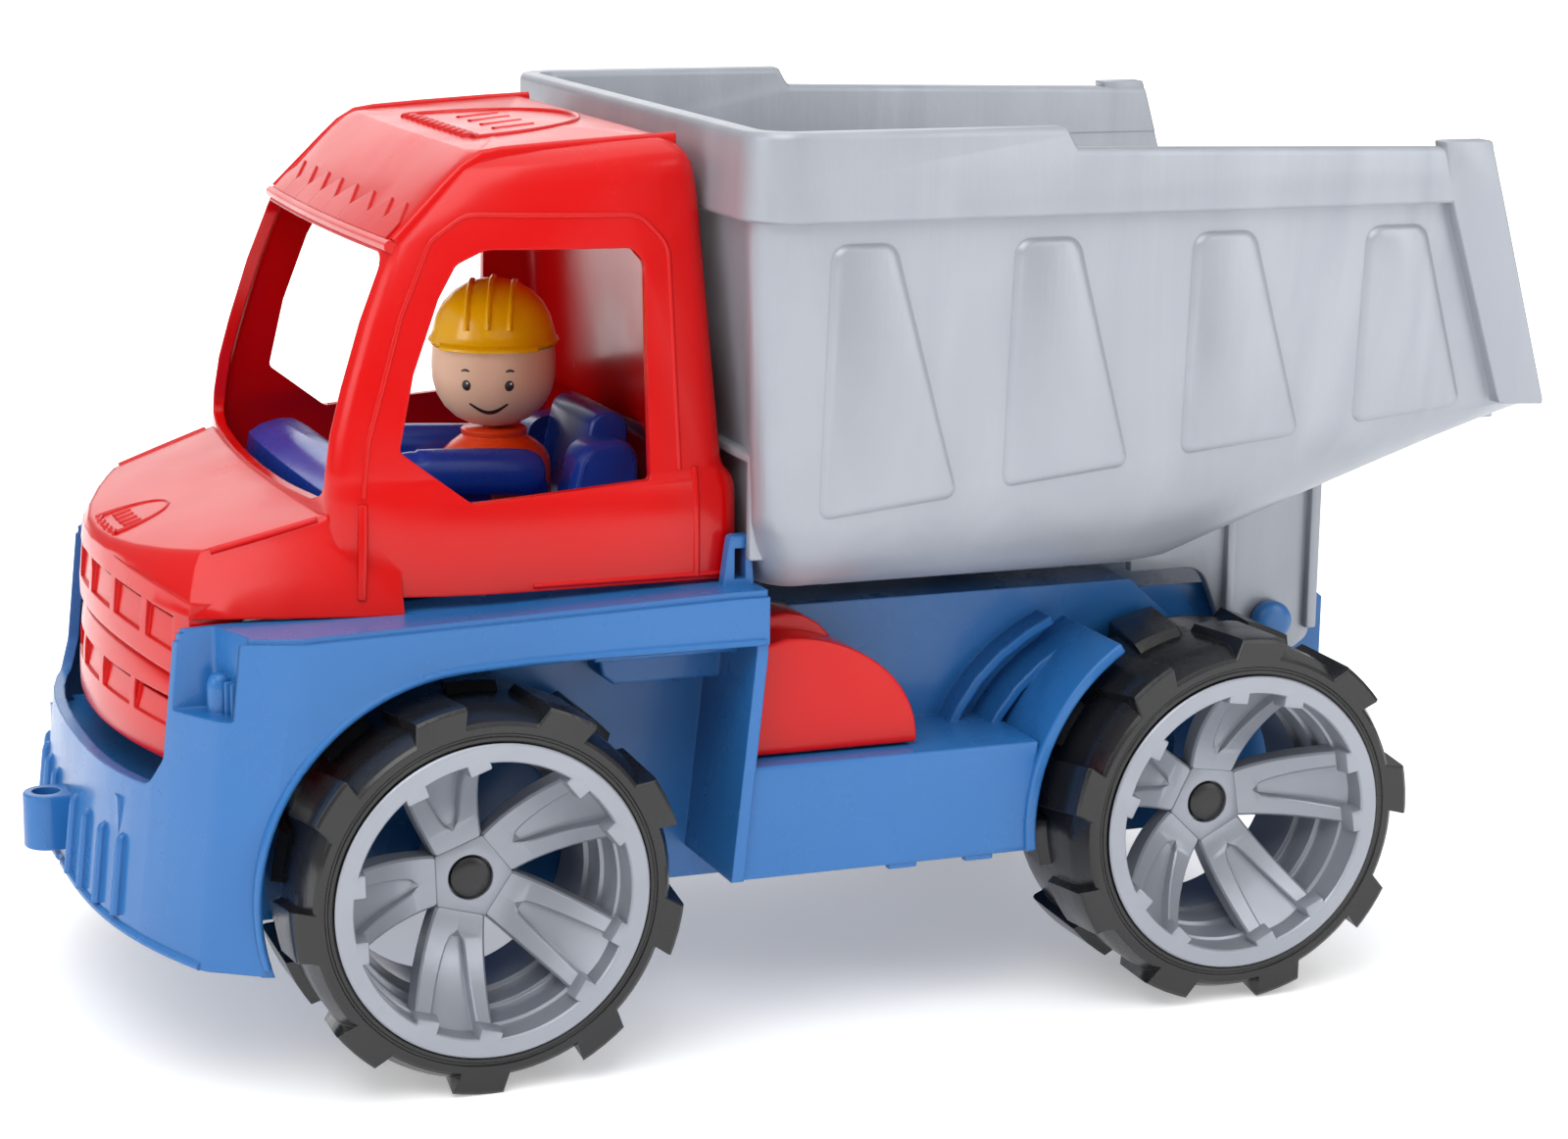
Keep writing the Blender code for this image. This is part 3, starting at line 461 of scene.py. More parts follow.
def cap(cx, s):
    return revolve([(0.0, 58.9), (3.9, 58.9), (3.95, 60.2), (3.8, 60.75), (3.4, 61.0), (2.0, 61.12), (0.0, 61.15)], 40, (cx, 0, Z_AXLE), (0, s, 0))


def placed(master, cx, s, turn):
    """Copy of a front-left wheel piece, turned about its axle and moved to another wheel."""
    bm = master.copy()
    m = Matrix.Rotation(-math.radians(turn), 4, "Y") @ Matrix.Translation(-P(X_FRONT_AXLE, 0.0, Z_AXLE))
    if s < 0:
        m = Matrix.Scale(-1.0, 4, Vector((0.0, 1.0, 0.0))) @ m
    bmesh.ops.transform(bm, matrix=Matrix.Translation(P(cx, 0.0, Z_AXLE)) @ m, verts=bm.verts)
    if s < 0:
        bmesh.ops.reverse_faces(bm, faces=bm.faces)
    return bm


rim_master = rim(X_FRONT_AXLE, 1, 106.0)
for end, cx, rp, tp in (("front", X_FRONT_AXLE, 106.0, -95.1), ("rear", X_REAR_AXLE, 62.6, -75.0)):
    body = end + "_wheels"
    for side, s in (("left", 1), ("right", -1)):
        ph = rp if s > 0 else 180.0 - rp
        tag = "%s_%s" % (end, side)
        piece("tyre_look_" + tag, tyre(cx, s, tp), BLACK, body, ("tyre_" + tag,), 28)
        piece("rim_look_" + tag, placed(rim_master, cx, s, ph - 106.0), RIMM, body, ("rim_" + tag,), 30)
        piece("cap_look_" + tag, cap(cx, s), CAPM, body, ("hub_cap_" + tag,), 40)

# ------------------------------------------------------------------------- cab
def table(z, rows):
    """Straight-line interpolation in a list of (height, value)."""
    if z <= rows[0][0]:
        return rows[0][1]
    for (a, va), (b, vb) in zip(rows[:-1], rows[1:]):
        if z <= b:
            return va + (vb - va) * (z - a) / (b - a)
    return rows[-1][1]


CAB_REAR = ((80.0, 15.6), (105.0, 15.5), (106.6, 15.9), (108.6, 17.4), (110.0, 17.95), (158.0, 21.6), (163.0, 22.3), (170.0, 22.8))
CAB_FRONT = ((80.0, 92.0), (100.6, 92.2), (110.0, 91.8), (117.1, 90.7), (125.0, 88.6), (137.2, 84.8), (151.0, 79.5), (166.9, 64.3), (171.0, 60.0))
CAB_SIDE_REAR = ((80.0, 57.0), (98.0, 57.0), (104.5, 56.5), (106.6, 55.9), (108.5, 55.3), (120.0, 54.5), (162.0, 51.6), (170.0, 51.2))
CAB_SIDE_FRONT = ((80.0, 50.4), (100.6, 50.0), (125.0, 48.6), (151.0, 46.6), (170.0, 45.4))
CAB_BOW = ((80.0, 2.8), (104.0, 2.8), (151.0, 1.4), (167.0, 0.7))


def cab_plan(z, i=0.0, rear=4.0, front=5.5):
    xr, xf = table(z, CAB_REAR) + i, table(z, CAB_FRONT) - i
    hr, hf = table(z, CAB_SIDE_REAR) - i, table(z, CAB_SIDE_FRONT) - i
    bow = table(z, CAB_BOW)
    rear = max(1.0, rear - i)
    x1 = xf - 33.0
    side = [(x1 + 33.0 * t, hr - (hr - hf) * t * t) for t in (0.0, 0.2, 0.4, 0.6, 0.78, 1.0)]
    side[-1] = (xf, hf)
    face = [(xf + bow * (1.0 - (y / hf) ** 2), y) for y in [hf * k for k in (0.8, 0.55, 0.28, 0.0)]]
    half = [(xr, hr)] + side + face
    pts = half + [(x, -y) for x, y in (side + face[:-1])[::-1]] + [(xr, -hr)]
    n = len(pts)
    radii = [0.0] * n
    radii[0] = radii[-1] = rear
    # side has 6 points after the rear corner; the last is the windscreen pillar
    radii[6] = max(1.0, front - i)
    radii[n - 7] = max(1.0, front - i)
    # the face points, kept sharp
    return fillet(pts, radii, 5)


def roof_drop(x):
    return -0.064 * (x - 44.0)


def cab_body(i=0.0, z_low=87.9):
    """Closed smooth body of the cab above the deck; i moves every wall inwards."""
    rings = []
    for z in (z_low, 92.0, 98.0, 104.5, 105.6, 106.6, 107.6, 108.6, 109.4, 110.4, 117.1, 121.0, 125.0, 131.0, 137.2, 144.0, 151.0, 151.8, 155.0, 158.6, 161.0):
        rings.append([(x, y, z) for x, y in cab_plan(z, i)])
    top = 168.2 - i
    R = 5.6
    for k in range(1, 7):
        th = math.radians(15 * k)
        z = top - R * (1 - math.sin(th))
        ins = R * (1 - math.cos(th))
        w = k / 6.0
        ring = []
        for x, y in cab_plan(z, i, 4.0 + ins * 0.2, 4.0):
            xr, xf = table(z, CAB_REAR) + i, table(z, CAB_FRONT) - i
            # rear and sides curl in, the front follows the slope of the visor
            xx = x + ins * max(0.0, 1.0 - (x - xr) / 18.0)
            yy = y * (1.0 - ins / 51.0)
            ring.append((xx, yy, z + roof_drop(xx) * w))
        rings.append(ring)
    last = rings[-1]
    for f in (0.88, 0.7, 0.45, 0.2, 0.04):
        rings.append([(43.0 + (x - 43.0) * f, y * f, top + 0.35 * (1 - f) + roof_drop(43.0 + (x - 43.0) * f)) for x, y, z in last])
    return loft(rings)


def nose_crease_x(y):
    return 125.7 - 11.4 * (abs(y) / 41.8) ** 2


def hood_z(x):
    return 102.2 - 0.3 * (x - 94.0)


def hood_body(i=0.0, z_low=85.0):
    """Bonnet as level rings: flared foot, crease line, then the sloping lid."""
    rows = []
    cols = [-1.0, -0.97, -0.9, -0.75, -0.5, -0.25, 0.0, 0.25, 0.5, 0.75, 0.9, 0.97, 1.0]

    def ring(f, half_back, half_front, x_back, x_front, bow, z_fn):
        pts = []
        # right side from the back to the corner, across the front, back along the left
        for k in range(5):
            t = k / 5.0
            x, y = lerp(x_back, x_front - bow, t), -lerp(half_back, half_front, t ** 1.25)
            pts.append((x, y))
        for c in cols:
            pts.append((x_front - bow * c * c, half_front * c))
        for k in range(4, -1, -1):
            t = k / 5.0
            x, y = lerp(x_back, x_front - bow, t), lerp(half_back, half_front, t ** 1.25)
            pts.append((x, y))
        return [(x, y, z_fn(x)) for x, y in pts]

    def level(z):
        return lambda x: z

    def lid(drop):
        return lambda x: hood_z(min(x, 125.7)) - drop

    rings = [ring(0, 56.4 - i, 47.2 - i, 80.0, 126.2 - i, 8.8, level(z_low)),
             ring(0, 56.2 - i, 47.1 - i, 80.0, 126.3 - i, 8.9, level(min(z_low + 0.6, 86.0))),
             ring(1, 53.8 - i, 44.8 - i, 80.0, 126.3 - i, 9.9, lambda x: lerp(z_low, hood_z(x) - i, 0.42)),
             ring(2, 51.2 - i, 42.9 - i, 80.0, 126.1 - i, 10.9, lambda x: lerp(z_low, hood_z(x) - i, 0.80)),
             ring(3, 50.4 - i, 42.3 - i, 80.0, 125.9 - i, 11.3, lid(1.3 + i)),
             ring(4, 50.2 - i, 42.05 - i, 80.0, 125.55 - i, 11.35, lid(0.55 + i)),
             ring(4, 49.8 - i, 41.7 - i, 80.0, 125.0 - i, 11.35, lid(0.12 + i)),
             ring(5, 49.1 - i, 41.1 - i, 80.0, 124.2 - i, 11.3, lid(i)),
             ring(6, 40.0 - i, 33.0 - i, 80.0, 117.0 - i, 9.0, lid(i - 0.25)),
             ring(7, 20.0 - i * 0.5, 16.0 - i * 0.5, 80.0, 103.0 - i, 3.0, lid(i - 0.5)),
             ring(8, 3.0, 2.0, 80.0, 86.0, 0.4, lid(i - 0.6))]
    return loft(rings)


def nose_face(y, lift):
    return 126.0 + lift - 8.8 * (y / 47.4) ** 2


def nose_drop_z(y, z):
    """The bands of the grille sag towards the sides."""
    return -table(z, [(57.6, 0.0), (58.4, 0.1), (62.0, 0.4), (68.0, 1.1), (73.0, 2.1), (76.8, 2.7), (91.0, 2.7)]) * (abs(y) / 42.0) ** 2


def nose_body(i=0.0, z_low=57.2):
    rings = []
    ys = [-47.3 + i + (94.6 - 2 * i) * k / 24 for k in range(25)]
    back = 100.8 if i == 0 else 80.0
    if i == 0:
        prof = ((z_low, 0.4), (57.6, 0.8), (58.4, 1.0), (62.0, 1.0), (68.0, 0.75), (73.0, 0.2), (74.9, -0.3), (75.3, -0.9), (75.8, -0.9), (76.2, 0.2), (76.8, 0.55), (80.0, 0.6), (84.0, 0.35), (88.0, 0.0), (91.0, -0.4))
    else:
        prof = ((z_low, -1.0), (75.2, -1.2), (88.0, -1.2))
    for z, lift in prof:
        ring = [(back, -47.3 + i, z + (nose_drop_z(47.3, z) if i == 0 else 0.0))]
        for y in ys:
            ring.append((nose_face(y, lift) - i, y, z + (nose_drop_z(y, z) if i == 0 else 0.0)))
        ring.append((back, 47.3 - i, z + (nose_drop_z(47.3, z) if i == 0 else 0.0)))
        rings.append(ring)
    return loft(rings)


def nose_cell(y0, y1, z0, z1, deep, depth):
    """Curved pocket in the grille; its foot is flush and its head goes in."""
    rings = []
    n = 5
    for k in range(n + 1):
        y = y0 + (y1 - y0) * k / n
        x = nose_face(y, 0.0)
        dz = nose_drop_z(y, (z0 + z1) / 2)
        rings.append([(x - depth, y, z0 + dz + 0.4), (x + 5.0, y, z0 + dz - 0.5), (x + 5.0, y, z1 + dz), (x - deep, y, z1 + dz)])
    return loft(rings)


def bar(path, normals, w, h, sink=0.6):
    """Raised rib along a path: half-round bead standing h proud of the surface."""
    rings = []
    m = len(path)
    for k, p in enumerate(path):
        p = Vector(p)
        t = (Vector(path[min(k + 1, m - 1)]) - Vector(path[max(k - 1, 0)])).normalized()
        n = Vector(normals[k] if isinstance(normals, list) else normals).normalized()
        b = t.cross(n).normalized()
        n = b.cross(t).normalized()
        ring = []
        for q, v in ((-w / 2, -sink), (-w / 2, 0.05 * h), (-w * 0.32, h * 0.72), (0.0, h), (w * 0.32, h * 0.72), (w / 2, 0.05 * h), (w / 2, -sink)):
            ring.append(tuple(p + b * q + n * v))
        rings.append(ring)
    return loft(rings)


def smooth_path(pts, radius, n=5):
    """Open outline with rounded inner corners."""
    out = [pts[0]]
    for a, b, c in zip(pts[:-2], pts[1:-1], pts[2:]):
        tri = fillet([a, b, c], [0.0, radius, 0.0], n)
        out += tri[1:-1]
    out.append(pts[-1])
    return out


def cab_side_y(x, z):
    xf = table(z, CAB_FRONT)
    hr, hf = table(z, CAB_SIDE_REAR), table(z, CAB_SIDE_FRONT)
    t = max(0.0, min(1.0, (x - (xf - 33.0)) / 33.0))
    return hr - (hr - hf) * t * t


side_window = fillet([(62.8, 150.0), (35.6, 149.6), (33.2, 146.8), (32.9, 107.0), (67.0, 104.6), (79.6, 114.2), (76.6, 128.0), (71.6, 141.4), (68.2, 147.4)],
                     [6.0, 2.5, 2.0, 1.0, 1.6, 1.4, 0.0, 0.0, 3.0], 5)

outer = union(cab_body(), hood_body(), nose_body())
shell = cut_each(outer, nose_body(2.0, 40.0), hood_body(2.0, 83.0), cab_body(2.0, 70.0))
windscreen = prism_x(fillet([(-44.6, 149.2), (44.6, 149.2), (46.8, 106.2), (40.0, 104.2), (20.0, 103.4), (0.0, 103.2), (-20.0, 103.4), (-40.0, 104.2), (-46.8, 106.2)],
                            [3.0, 3.0, 3.5, 0, 0, 0, 0, 0, 3.5], 5), 58.0, 120.0)
cutters = [windscreen, prism_y(side_window, 30.0, 80.0), prism_y(side_window, -80.0, -30.0)]
for y0, y1 in ((-42.0, -32.4), (-30.0, -17.4), (-15.0, -1.2), (1.2, 15.0), (17.4, 30.0), (32.4, 42.0)):
    cutters.append(nose_cell(y0, y1, 80.6, 87.4, 0.9, 0.1))
    cutters.append(nose_cell(y0 + 0.9, y1 - 0.9, 86.5, 87.4, 4.6, 4.6))
for y0, y1 in ((-44.6, -27.4), (-25.2, -10.0), (-7.6, 7.6), (10.0, 25.2), (27.4, 44.6)):
    cutters.append(nose_cell(y0, y1, 64.6, 70.4, 0.7, -0.3))
    cutters.append(nose_cell(y0 + 0.9, y1 - 0.9, 69.5, 70.4, 4.6, 4.6))
shell = cut_each(shell, *cutters)

# raised lines: lip of the visor, sawtooth of the visor, roof ribs, window frames, belt and door line
trim = []
ys = [-46.4 + 92.8 * k / 24 for k in range(25)]
trim.append(bar([(79.3 + 1.4 * (1 - (y / 46.6) ** 2), y, 150.6) for y in ys], (0.75, 0.0, 0.3), 2.4, 1.1, 1.4))


def visor(y, t):
    return (79.5 - 15.2 * t + (1.4 - 0.7 * t) * (1 - (y / 46.5) ** 2), y, 151.0 + 15.9 * t)


def visor_plate(outline, h=0.35, sink=0.8):
    n = Vector((0.72, 0.0, 0.69)).normalized()
    a = [tuple(Vector(visor(y, t)) - n * sink) for y, t in outline]
    b = [tuple(Vector(visor(y, t)) + n * h) for y, t in outline]
    return loft([a, b])


teeth = [-38.8, -27.7, -16.5, -5.6, 5.9, 17.8, 29.6, 38.6]
valley = [-43.6] + [(p + q) / 2 for p, q in zip(teeth[:-1], teeth[1:])] + [43.4]
saw = [(valley[0], 0.20)]
for k, y in enumerate(teeth):
    saw += [(y, 0.40), (valley[k + 1], 0.20)]
for (ya, ta), (yb, tb), (yc, tc) in zip(saw[0:-2:2], saw[1:-1:2], saw[2::2]):
    trim.append(visor_plate([(ya, 0.03), (ya, ta), (yb, tb), (yc, tc), (yc, 0.03), (yb, 0.03)], 0.32))
for s in (-1, 1):
    path = [(25.0, s * 45.2, 169.1), (34.0, s * 45.4, 168.7), (48.0, s * 45.4, 167.9), (58.0, s * 45.2, 167.2), (62.0, s * 45.1, 166.6), (65.4, s * 45.0, 164.6),
            (68.6, s * 45.1, 161.6), (73.0, s * 45.4, 157.2), (78.6, s * 45.8, 151.6)]
    nrm = [(0, 0, 1)] * 4 + [(0.25, 0, 1), (0.55, 0, 0.9), (0.7, 0, 0.7), (0.72, 0, 0.69), (0.72, 0, 0.69)]
    trim.append(bar(path, nrm, 1.7, 0.75, 1.4))
    frame_line = smooth_path([(86.2, 106.0), (85.0, 116.0), (78.4, 138.0), (72.6, 151.6), (66.0, 156.2), (34.0, 155.6), (28.6, 150.0), (27.2, 108.6)], 5.5, 5)
    dense = []
    for (ax, az), (bx, bz) in zip(frame_line[:-1], frame_line[1:]):
        steps = max(1, int(math.hypot(bx - ax, bz - az) / 4.0))
        dense += [(ax + (bx - ax) * k / steps, az + (bz - az) * k / steps) for k in range(steps)]
    dense.append(frame_line[-1])
    trim.append(bar([(x, s * cab_side_y(x, z), z) for x, z in dense], (0.0, s, 0.06), 1.0, 0.38, 0.8))
    trim.append(bar([(x, s * (cab_side_y(x, 106.9) - 0.1), 106.6 - 0.055 * (x - 24.0)) for x in (24.5, 30.0, 36.0, 44.0, 52.0, 60.0, 66.0)], (0.0, s, 0.3), 1.2, 0.35, 0.8))
    trim.append(bar([(24.3, s * cab_side_y(24.3, z), z) for z in (88.6, 94.0, 100.0, 104.0, 107.0, 109.0)], (0.0, s, 0.0), 1.3, 0.5, 0.8))
    trim.append(bar([(x, s * (cab_side_y(x, 89.4) + 0.0), 88.9) for x in (18.0, 30.0, 44.0, 56.0)], (0.0, s, 0.0), 1.0, 0.4, 0.8))
    trim.append(bar([(86.6 + 0.06 * (100 - z), s * (cab_side_y(86.0, z) + 0.35 + 0.10 * (103 - z)), z) for z in (88.0, 92.0, 97.0, 102.0, 105.0)], (0.0, s, 0.1), 1.6, 0.5, 1.2))


def oval_ring(place, cx, cy, rx, ry, w, h, flat=0.0, n=28):
    """Points of a half-oval outline round (cx, cy); place, w, h and flat are not used."""
    pts = []
    for k in range(n + 1):
        t = math.pi * k / n
        pts.append((cx + rx * math.cos(t), cy + ry * math.sin(t)))
    return pts


# plain half-oval badge on the roof and on the bonnet, with a wavy foot and no lettering
def roof_point(x, y):
    return (x, y, 168.2 + 0.1 + roof_drop(x))


oval = [(57.0 - 27.0 * math.sin(math.pi * k / 28), -24.0 * math.cos(math.pi * k / 28) * 1.0) for k in range(29)]
trim.append(bar([roof_point(x, y) for x, y in oval], (0.06, 0.0, 1.0), 1.1, 0.55, 0.9))
waves = [(57.0 + 0.9 * math.sin(k * math.pi / 2.0), -23.0 + 46.0 * k / 48) for k in range(49)]
trim.append(bar([roof_point(x, y) for x, y in waves], (0.06, 0.0, 1.0), 1.5, 0.7, 0.9))
for y in (-12.0, -4.0, 4.0, 12.0):
    trim.append(bar([roof_point(x, y + 1.5 * (x - 46.0) / 6.0) for x in (41.5, 44.0, 47.0, 50.0)], (0.06, 0.0, 1.0), 1.9, 0.45, 0.9))


def bonnet_point(y, t):
    """t runs from the front edge of the bonnet back over it."""
    x = nose_crease_x(y)
    if t < 0:
        return (x + 0.1 - 0.2 * t, y, hood_z(x) - 0.7 + t * 8.0)
    return (x - 1.0 - t * 9.0, y, hood_z(x - 1.0 - t * 9.0) + 0.7)


def lid_point(y, back):
    x = 124.6 - 11.4 * (abs(y) / 41.8) ** 2 - back
    return (x, y, hood_z(x) + 0.1)


badge = [(1.0 + 8.2 * math.cos(math.pi * k / 20), 1.2 + 12.0 * math.sin(math.pi * k / 20)) for k in range(21)]
trim.append(bar([lid_point(y, back) for y, back in badge], (0.3, 0.0, 1.0), 0.9, 0.5, 1.0))
trim.append(bar([lid_point(y, 1.1 + 0.4 * math.sin(y * 2.0)) for y in [-7.4 + 0.7 * k for k in range(25)]], (0.3, 0.0, 1.0), 0.9, 0.5, 1.0))
for y in (-3.6, -0.4, 2.8, 5.8):
    trim.append(bar([lid_point(y, back) for back in (3.4, 5.0, 6.8)], (0.3, 0.0, 1.0), 1.7, 0.45, 1.0))
for s_ in (-1, 1):
    trim.append(bar([(x, s_ * (0.0 + y), hood_z(x) - 0.15) for x, y in ((93.8, 47.7), (98.0, 46.8), (103.0, 45.6), (108.0, 44.2), (112.4, 42.9))], (0.2, s_ * 0.7, 0.8), 1.1, 0.4, 0.9))

piece("cab_look", shell, RED, "truck", ("cab_shell",), 26)
for k, t in enumerate(trim):
    piece("cab_trim_%02d" % k, t, RED, "truck", (), 40)

# ---------------------------------------------------------------------- driver
DX, DY = 46.6, 1.0
head_prof = [(0.0, 108.9), (2.5, 108.95), (5.0, 109.5), (7.6, 110.8), (9.7, 112.8), (11.2, 115.3), (12.0, 118.0), (12.2, 120.6), (12.1, 123.0), (11.9, 124.8), (0.0, 124.9)]
head = piece("head_look", revolve(head_prof, 64, (DX, DY, 0.0), (0, 0, 1)), SKIN, "driver_head_group", ("driver_head",), 50)
helm_prof = [(0.0, 125.1), (12.3, 125.1), (12.6, 125.3), (12.8, 125.9), (12.6, 126.4), (12.2, 126.8), (11.9, 128.0), (11.2, 130.6), (9.8, 133.2), (7.8, 135.3), (5.4, 136.8), (2.6, 137.7), (0.0, 138.0)]
FACE = math.radians(90.0 - 22.0)      # the face looks out of the side window
helmet = revolve(helm_prof, 64, (DX, DY, 0.0), (0, 0, 1))
# short peak over the face
peak = []
for r, z0, z1 in ((11.6, 125.15, 126.9), (12.9, 125.0, 126.1), (13.5, 124.9, 125.6), (13.7, 124.95, 125.3)):
    wdt = 55.0 - (r - 11.6) * 5.0
    n = 12
    a = [(DX + r * math.cos(FACE + math.radians(-wdt + 2 * wdt * k / n)), DY + r * math.sin(FACE + math.radians(-wdt + 2 * wdt * k / n)), z1) for k in range(n + 1)]
    b = [(x, y, z0) for x, y, z in a[::-1]]
    peak.append(a + b)
ridges = []
for off in (-0.42, 0.0, 0.42):
    ct = []
    for k in range(11):
        t = math.radians(14 + 152 * k / 10)
        u = 12.1 * math.cos(t)
        v = 12.2 * math.sin(t) ** 0.92
        q = off * 10.0
        f = math.sqrt(max(0.0, 1 - (q / 12.4) ** 2))
        ct.append((DX + math.cos(FACE) * u * f - math.sin(FACE) * q, DY + math.sin(FACE) * u * f + math.cos(FACE) * q, 125.9 + v * f))
    ridges.append(bar(ct, [tuple(Vector((x - DX, y - DY, z - 124.0))) for x, y, z in ct], 1.1, 0.5, 1.0))
helmet = union(helmet, loft(peak), *ridges)
piece("helmet_look", helmet, YELLOW, "driver_head_group", ("driver_helmet",), 40)


def on_head(az, z, lift=0.06):
    """Point on the head az degrees round from the face's middle line."""
    r = table(z, [(p[1], p[0]) for p in head_prof[1:-1]]) + lift
    t = FACE + math.radians(az)
    return (DX + r * math.cos(t), DY + r * math.sin(t), z)


def decal(outline, lift=0.12):
    """Thin printed patch that follows the head."""
    rings = []
    cx = sum(p[0] for p in outline) / len(outline)
    cz = sum(p[1] for p in outline) / len(outline)
    low = [on_head(cx + (a - cx) * 1.0, cz + (z - cz), -0.25) for a, z in outline]
    edge = [on_head(a, z, lift * 0.5) for a, z in outline]
    mid = [on_head(cx + (a - cx) * 0.85, cz + (z - cz) * 0.85, lift) for a, z in outline]
    core = [on_head(cx + (a - cx) * 0.4, cz + (z - cz) * 0.4, lift * 1.3) for a, z in outline]
    return loft([low, edge, mid, core])


def stroke(points, width):
    """Printed line with round ends along (azimuth, height) points, width in mm."""
    up, down = [], []
    k = 180.0 / (math.pi * 11.6)
    m = len(points)
    for i, (a, z) in enumerate(points):
        a0, z0 = points[max(i - 1, 0)]
        a1, z1 = points[min(i + 1, m - 1)]
        da, dz = (a1 - a0) / k, (z1 - z0)
        l = math.hypot(da, dz)
        w = width * (0.35 + 0.65 * math.sin(math.pi * (0.08 + 0.84 * i / (m - 1))))
        up.append((a - dz / l * w / 2 * k, z + da / l * w / 2))
        down.append((a + dz / l * w / 2 * k, z - da / l * w / 2))
    rings = []
    for (ua, uz), (da_, dz_) in zip(up, down):
        rings.append([on_head(ua, uz, -0.2), on_head(ua, uz, 0.06), on_head((ua + da_) / 2, (uz + dz_) / 2, 0.11), on_head(da_, dz_, 0.06), on_head(da_, dz_, -0.2)])
    return loft(rings)


for side, az in (("a", -20.5), ("b", 20.0)):
    eye = [(az + 4.3 * math.cos(2 * math.pi * k / 24), 118.4 + 1.0 * 1.02 * math.sin(2 * math.pi * k / 24)) for k in range(24)]
    eye = [(a, 118.4 + (z - 118.4) * 1.05) for a, z in eye]
    piece("eye_" + side, decal(eye), INK, "driver_head_group", (), 60)
    dot = [(az + 1.3 + 1.1 * math.cos(2 * math.pi * k / 14), 118.85 + 0.26 * math.sin(2 * math.pi * k / 14)) for k in range(14)]
    piece("eye_dot_" + side, decal(dot, 0.2), GLINT, "driver_head_group", (), 60)
    brow = [(az + (-4.0 + 8.0 * k / 6) + (0.5 if az > 0 else -0.5), 121.0 + 0.42 * math.sin(math.pi * (k + 1) / 8)) for k in range(7)]
    piece("brow_" + side, stroke(brow, 0.5), INK, "driver_head_group", (), 60)
mouth = [(-20.0 + 40.0 * k / 16, 114.6 - 2.0 * math.sin(math.pi * (0.02 + 0.96 * k / 16)) + 0.2) for k in range(17)]
piece("mouth", stroke(mouth, 0.85), INK, "driver_head_group", (), 60)

torso = []
for z, rx, ry in ((90.2, 11.0, 3.4), (95.0, 11.4, 9.4), (100.0, 11.4, 9.5), (102.6, 11.0, 9.3), (104.2, 10.0, 8.8), (105.6, 8.4, 7.9), (106.6, 6.9, 6.9), (107.1, 6.3, 6.3),
                  (107.6, 6.5, 6.5), (108.2, 6.5, 6.5), (108.5, 6.1, 6.1), (108.6, 3.0, 3.0)):
    torso.append([(DX + rx * math.cos(math.radians(t)), DY + ry * math.sin(math.radians(t)), z) for t in range(0, 360, 9)])
piece("torso_look", loft(torso), ORANGE, "truck", ("driver_torso",), 45)

for tag, s in (("left", 1), ("right", -1)):
    y = DY + s * 14.4
    rings = []
    for x, f in ((40.9, 0.25), (41.1, 0.5), (41.8, 0.76), (42.8, 0.9), (44.4, 0.98), (46.4, 1.0), (52.0, 1.0), (58.0, 0.99), (63.0, 0.96), (66.0, 0.93), (66.6, 0.84),
                 (67.3, 0.85), (69.2, 0.78), (70.6, 0.56), (71.1, 0.28)):
        z = 101.9 + (x - 44.0) * 0.06
        rings.append([(x, y + 4.0 * f * math.sin(math.radians(t)), z + 4.5 * f * math.cos(math.radians(t))) for t in range(0, 360, 12)])
    piece("arm_look_" + tag, loft(rings), DEEP, "driver_arm_%s_group" % tag, ("driver_arm_" + tag,), 50)

# --------------------------------------------------------------------- interior
def bow_box(x0, x1, y0, y1, z0, z1, r=1.5, segs=3):
    return soften(box(x0, x1, y0, y1, z0, z1), r, segs)


dash = []
for y in (-42.0, -41.4, -39.5, -30.0, -20.0, -10.0, 0.0, 10.0, 20.0, 30.0, 39.5, 41.4, 42.0):
    f = 0.0 if abs(y) > 41.5 else (0.6 if abs(y) > 41.0 else 1.0)
    bow = 2.2 * (1 - (y / 42.0) ** 2)
    dash.append([(73.6 - 0.5 * bow + (1 - f), y, 89.4), (73.2 - 0.5 * bow + (1 - f), y, 99.0), (73.6 - 0.5 * bow + (1 - f) * 2, y, 101.6 - (1 - f)), (75.0, y, 103.6 - (1 - f) * 1.5), (77.4, y, 104.9 - (1 - f) * 1.8),
                 (80.4, y, 105.0 - (1 - f) * 1.8), (84.0 + bow * 0.3, y, 104.0 - (1 - f) * 1.4), (86.4 + bow * 0.4 - (1 - f), y, 102.2), (87.2 + bow * 0.4 - (1 - f), y, 98.0), (87.4 + bow * 0.4 - (1 - f), y, 89.4)])
floor_pan = prism_y([(24.0, 87.5), (88.0, 85.5), (88.0, 90.2), (24.0, 90.2)], -46.0, 46.0)


def chair(y0):
    """Moulded chair: cushion, rounded back and two thick side bolsters."""
    parts = []
    back = fillet([(22.6, 89.4), (22.6, 112.0), (30.0, 112.4), (33.4, 95.4), (35.0, 93.9), (57.4, 93.4), (57.6, 89.4)], [0, 3.6, 3.4, 2.4, 0.0, 2.0, 0], 5)
    parts.append(soften(prism_y(back, y0 - 13.0, y0 + 13.0), 1.1, 3, 40))
    for s in (-1, 1):
        rings = []
        prof = fillet([(22.8, 89.2), (22.8, 108.4), (34.8, 107.2), (38.4, 92.0), (38.4, 89.2)], [0, 4.6, 4.6, 1.5, 0], 6)
        cx, cz = 30.0, 98.0
        for k, (yy, f) in enumerate(((12.4, 1.0), (18.6, 1.0), (19.8, 0.97), (20.8, 0.9), (21.2, 0.8))):
            rings.append([(cx + (x - cx) * f, y0 + s * yy, cz + (z - cz) * f if z > 92 else z) for x, z in prof])
        parts.append(loft(rings))
    return union(*parts)


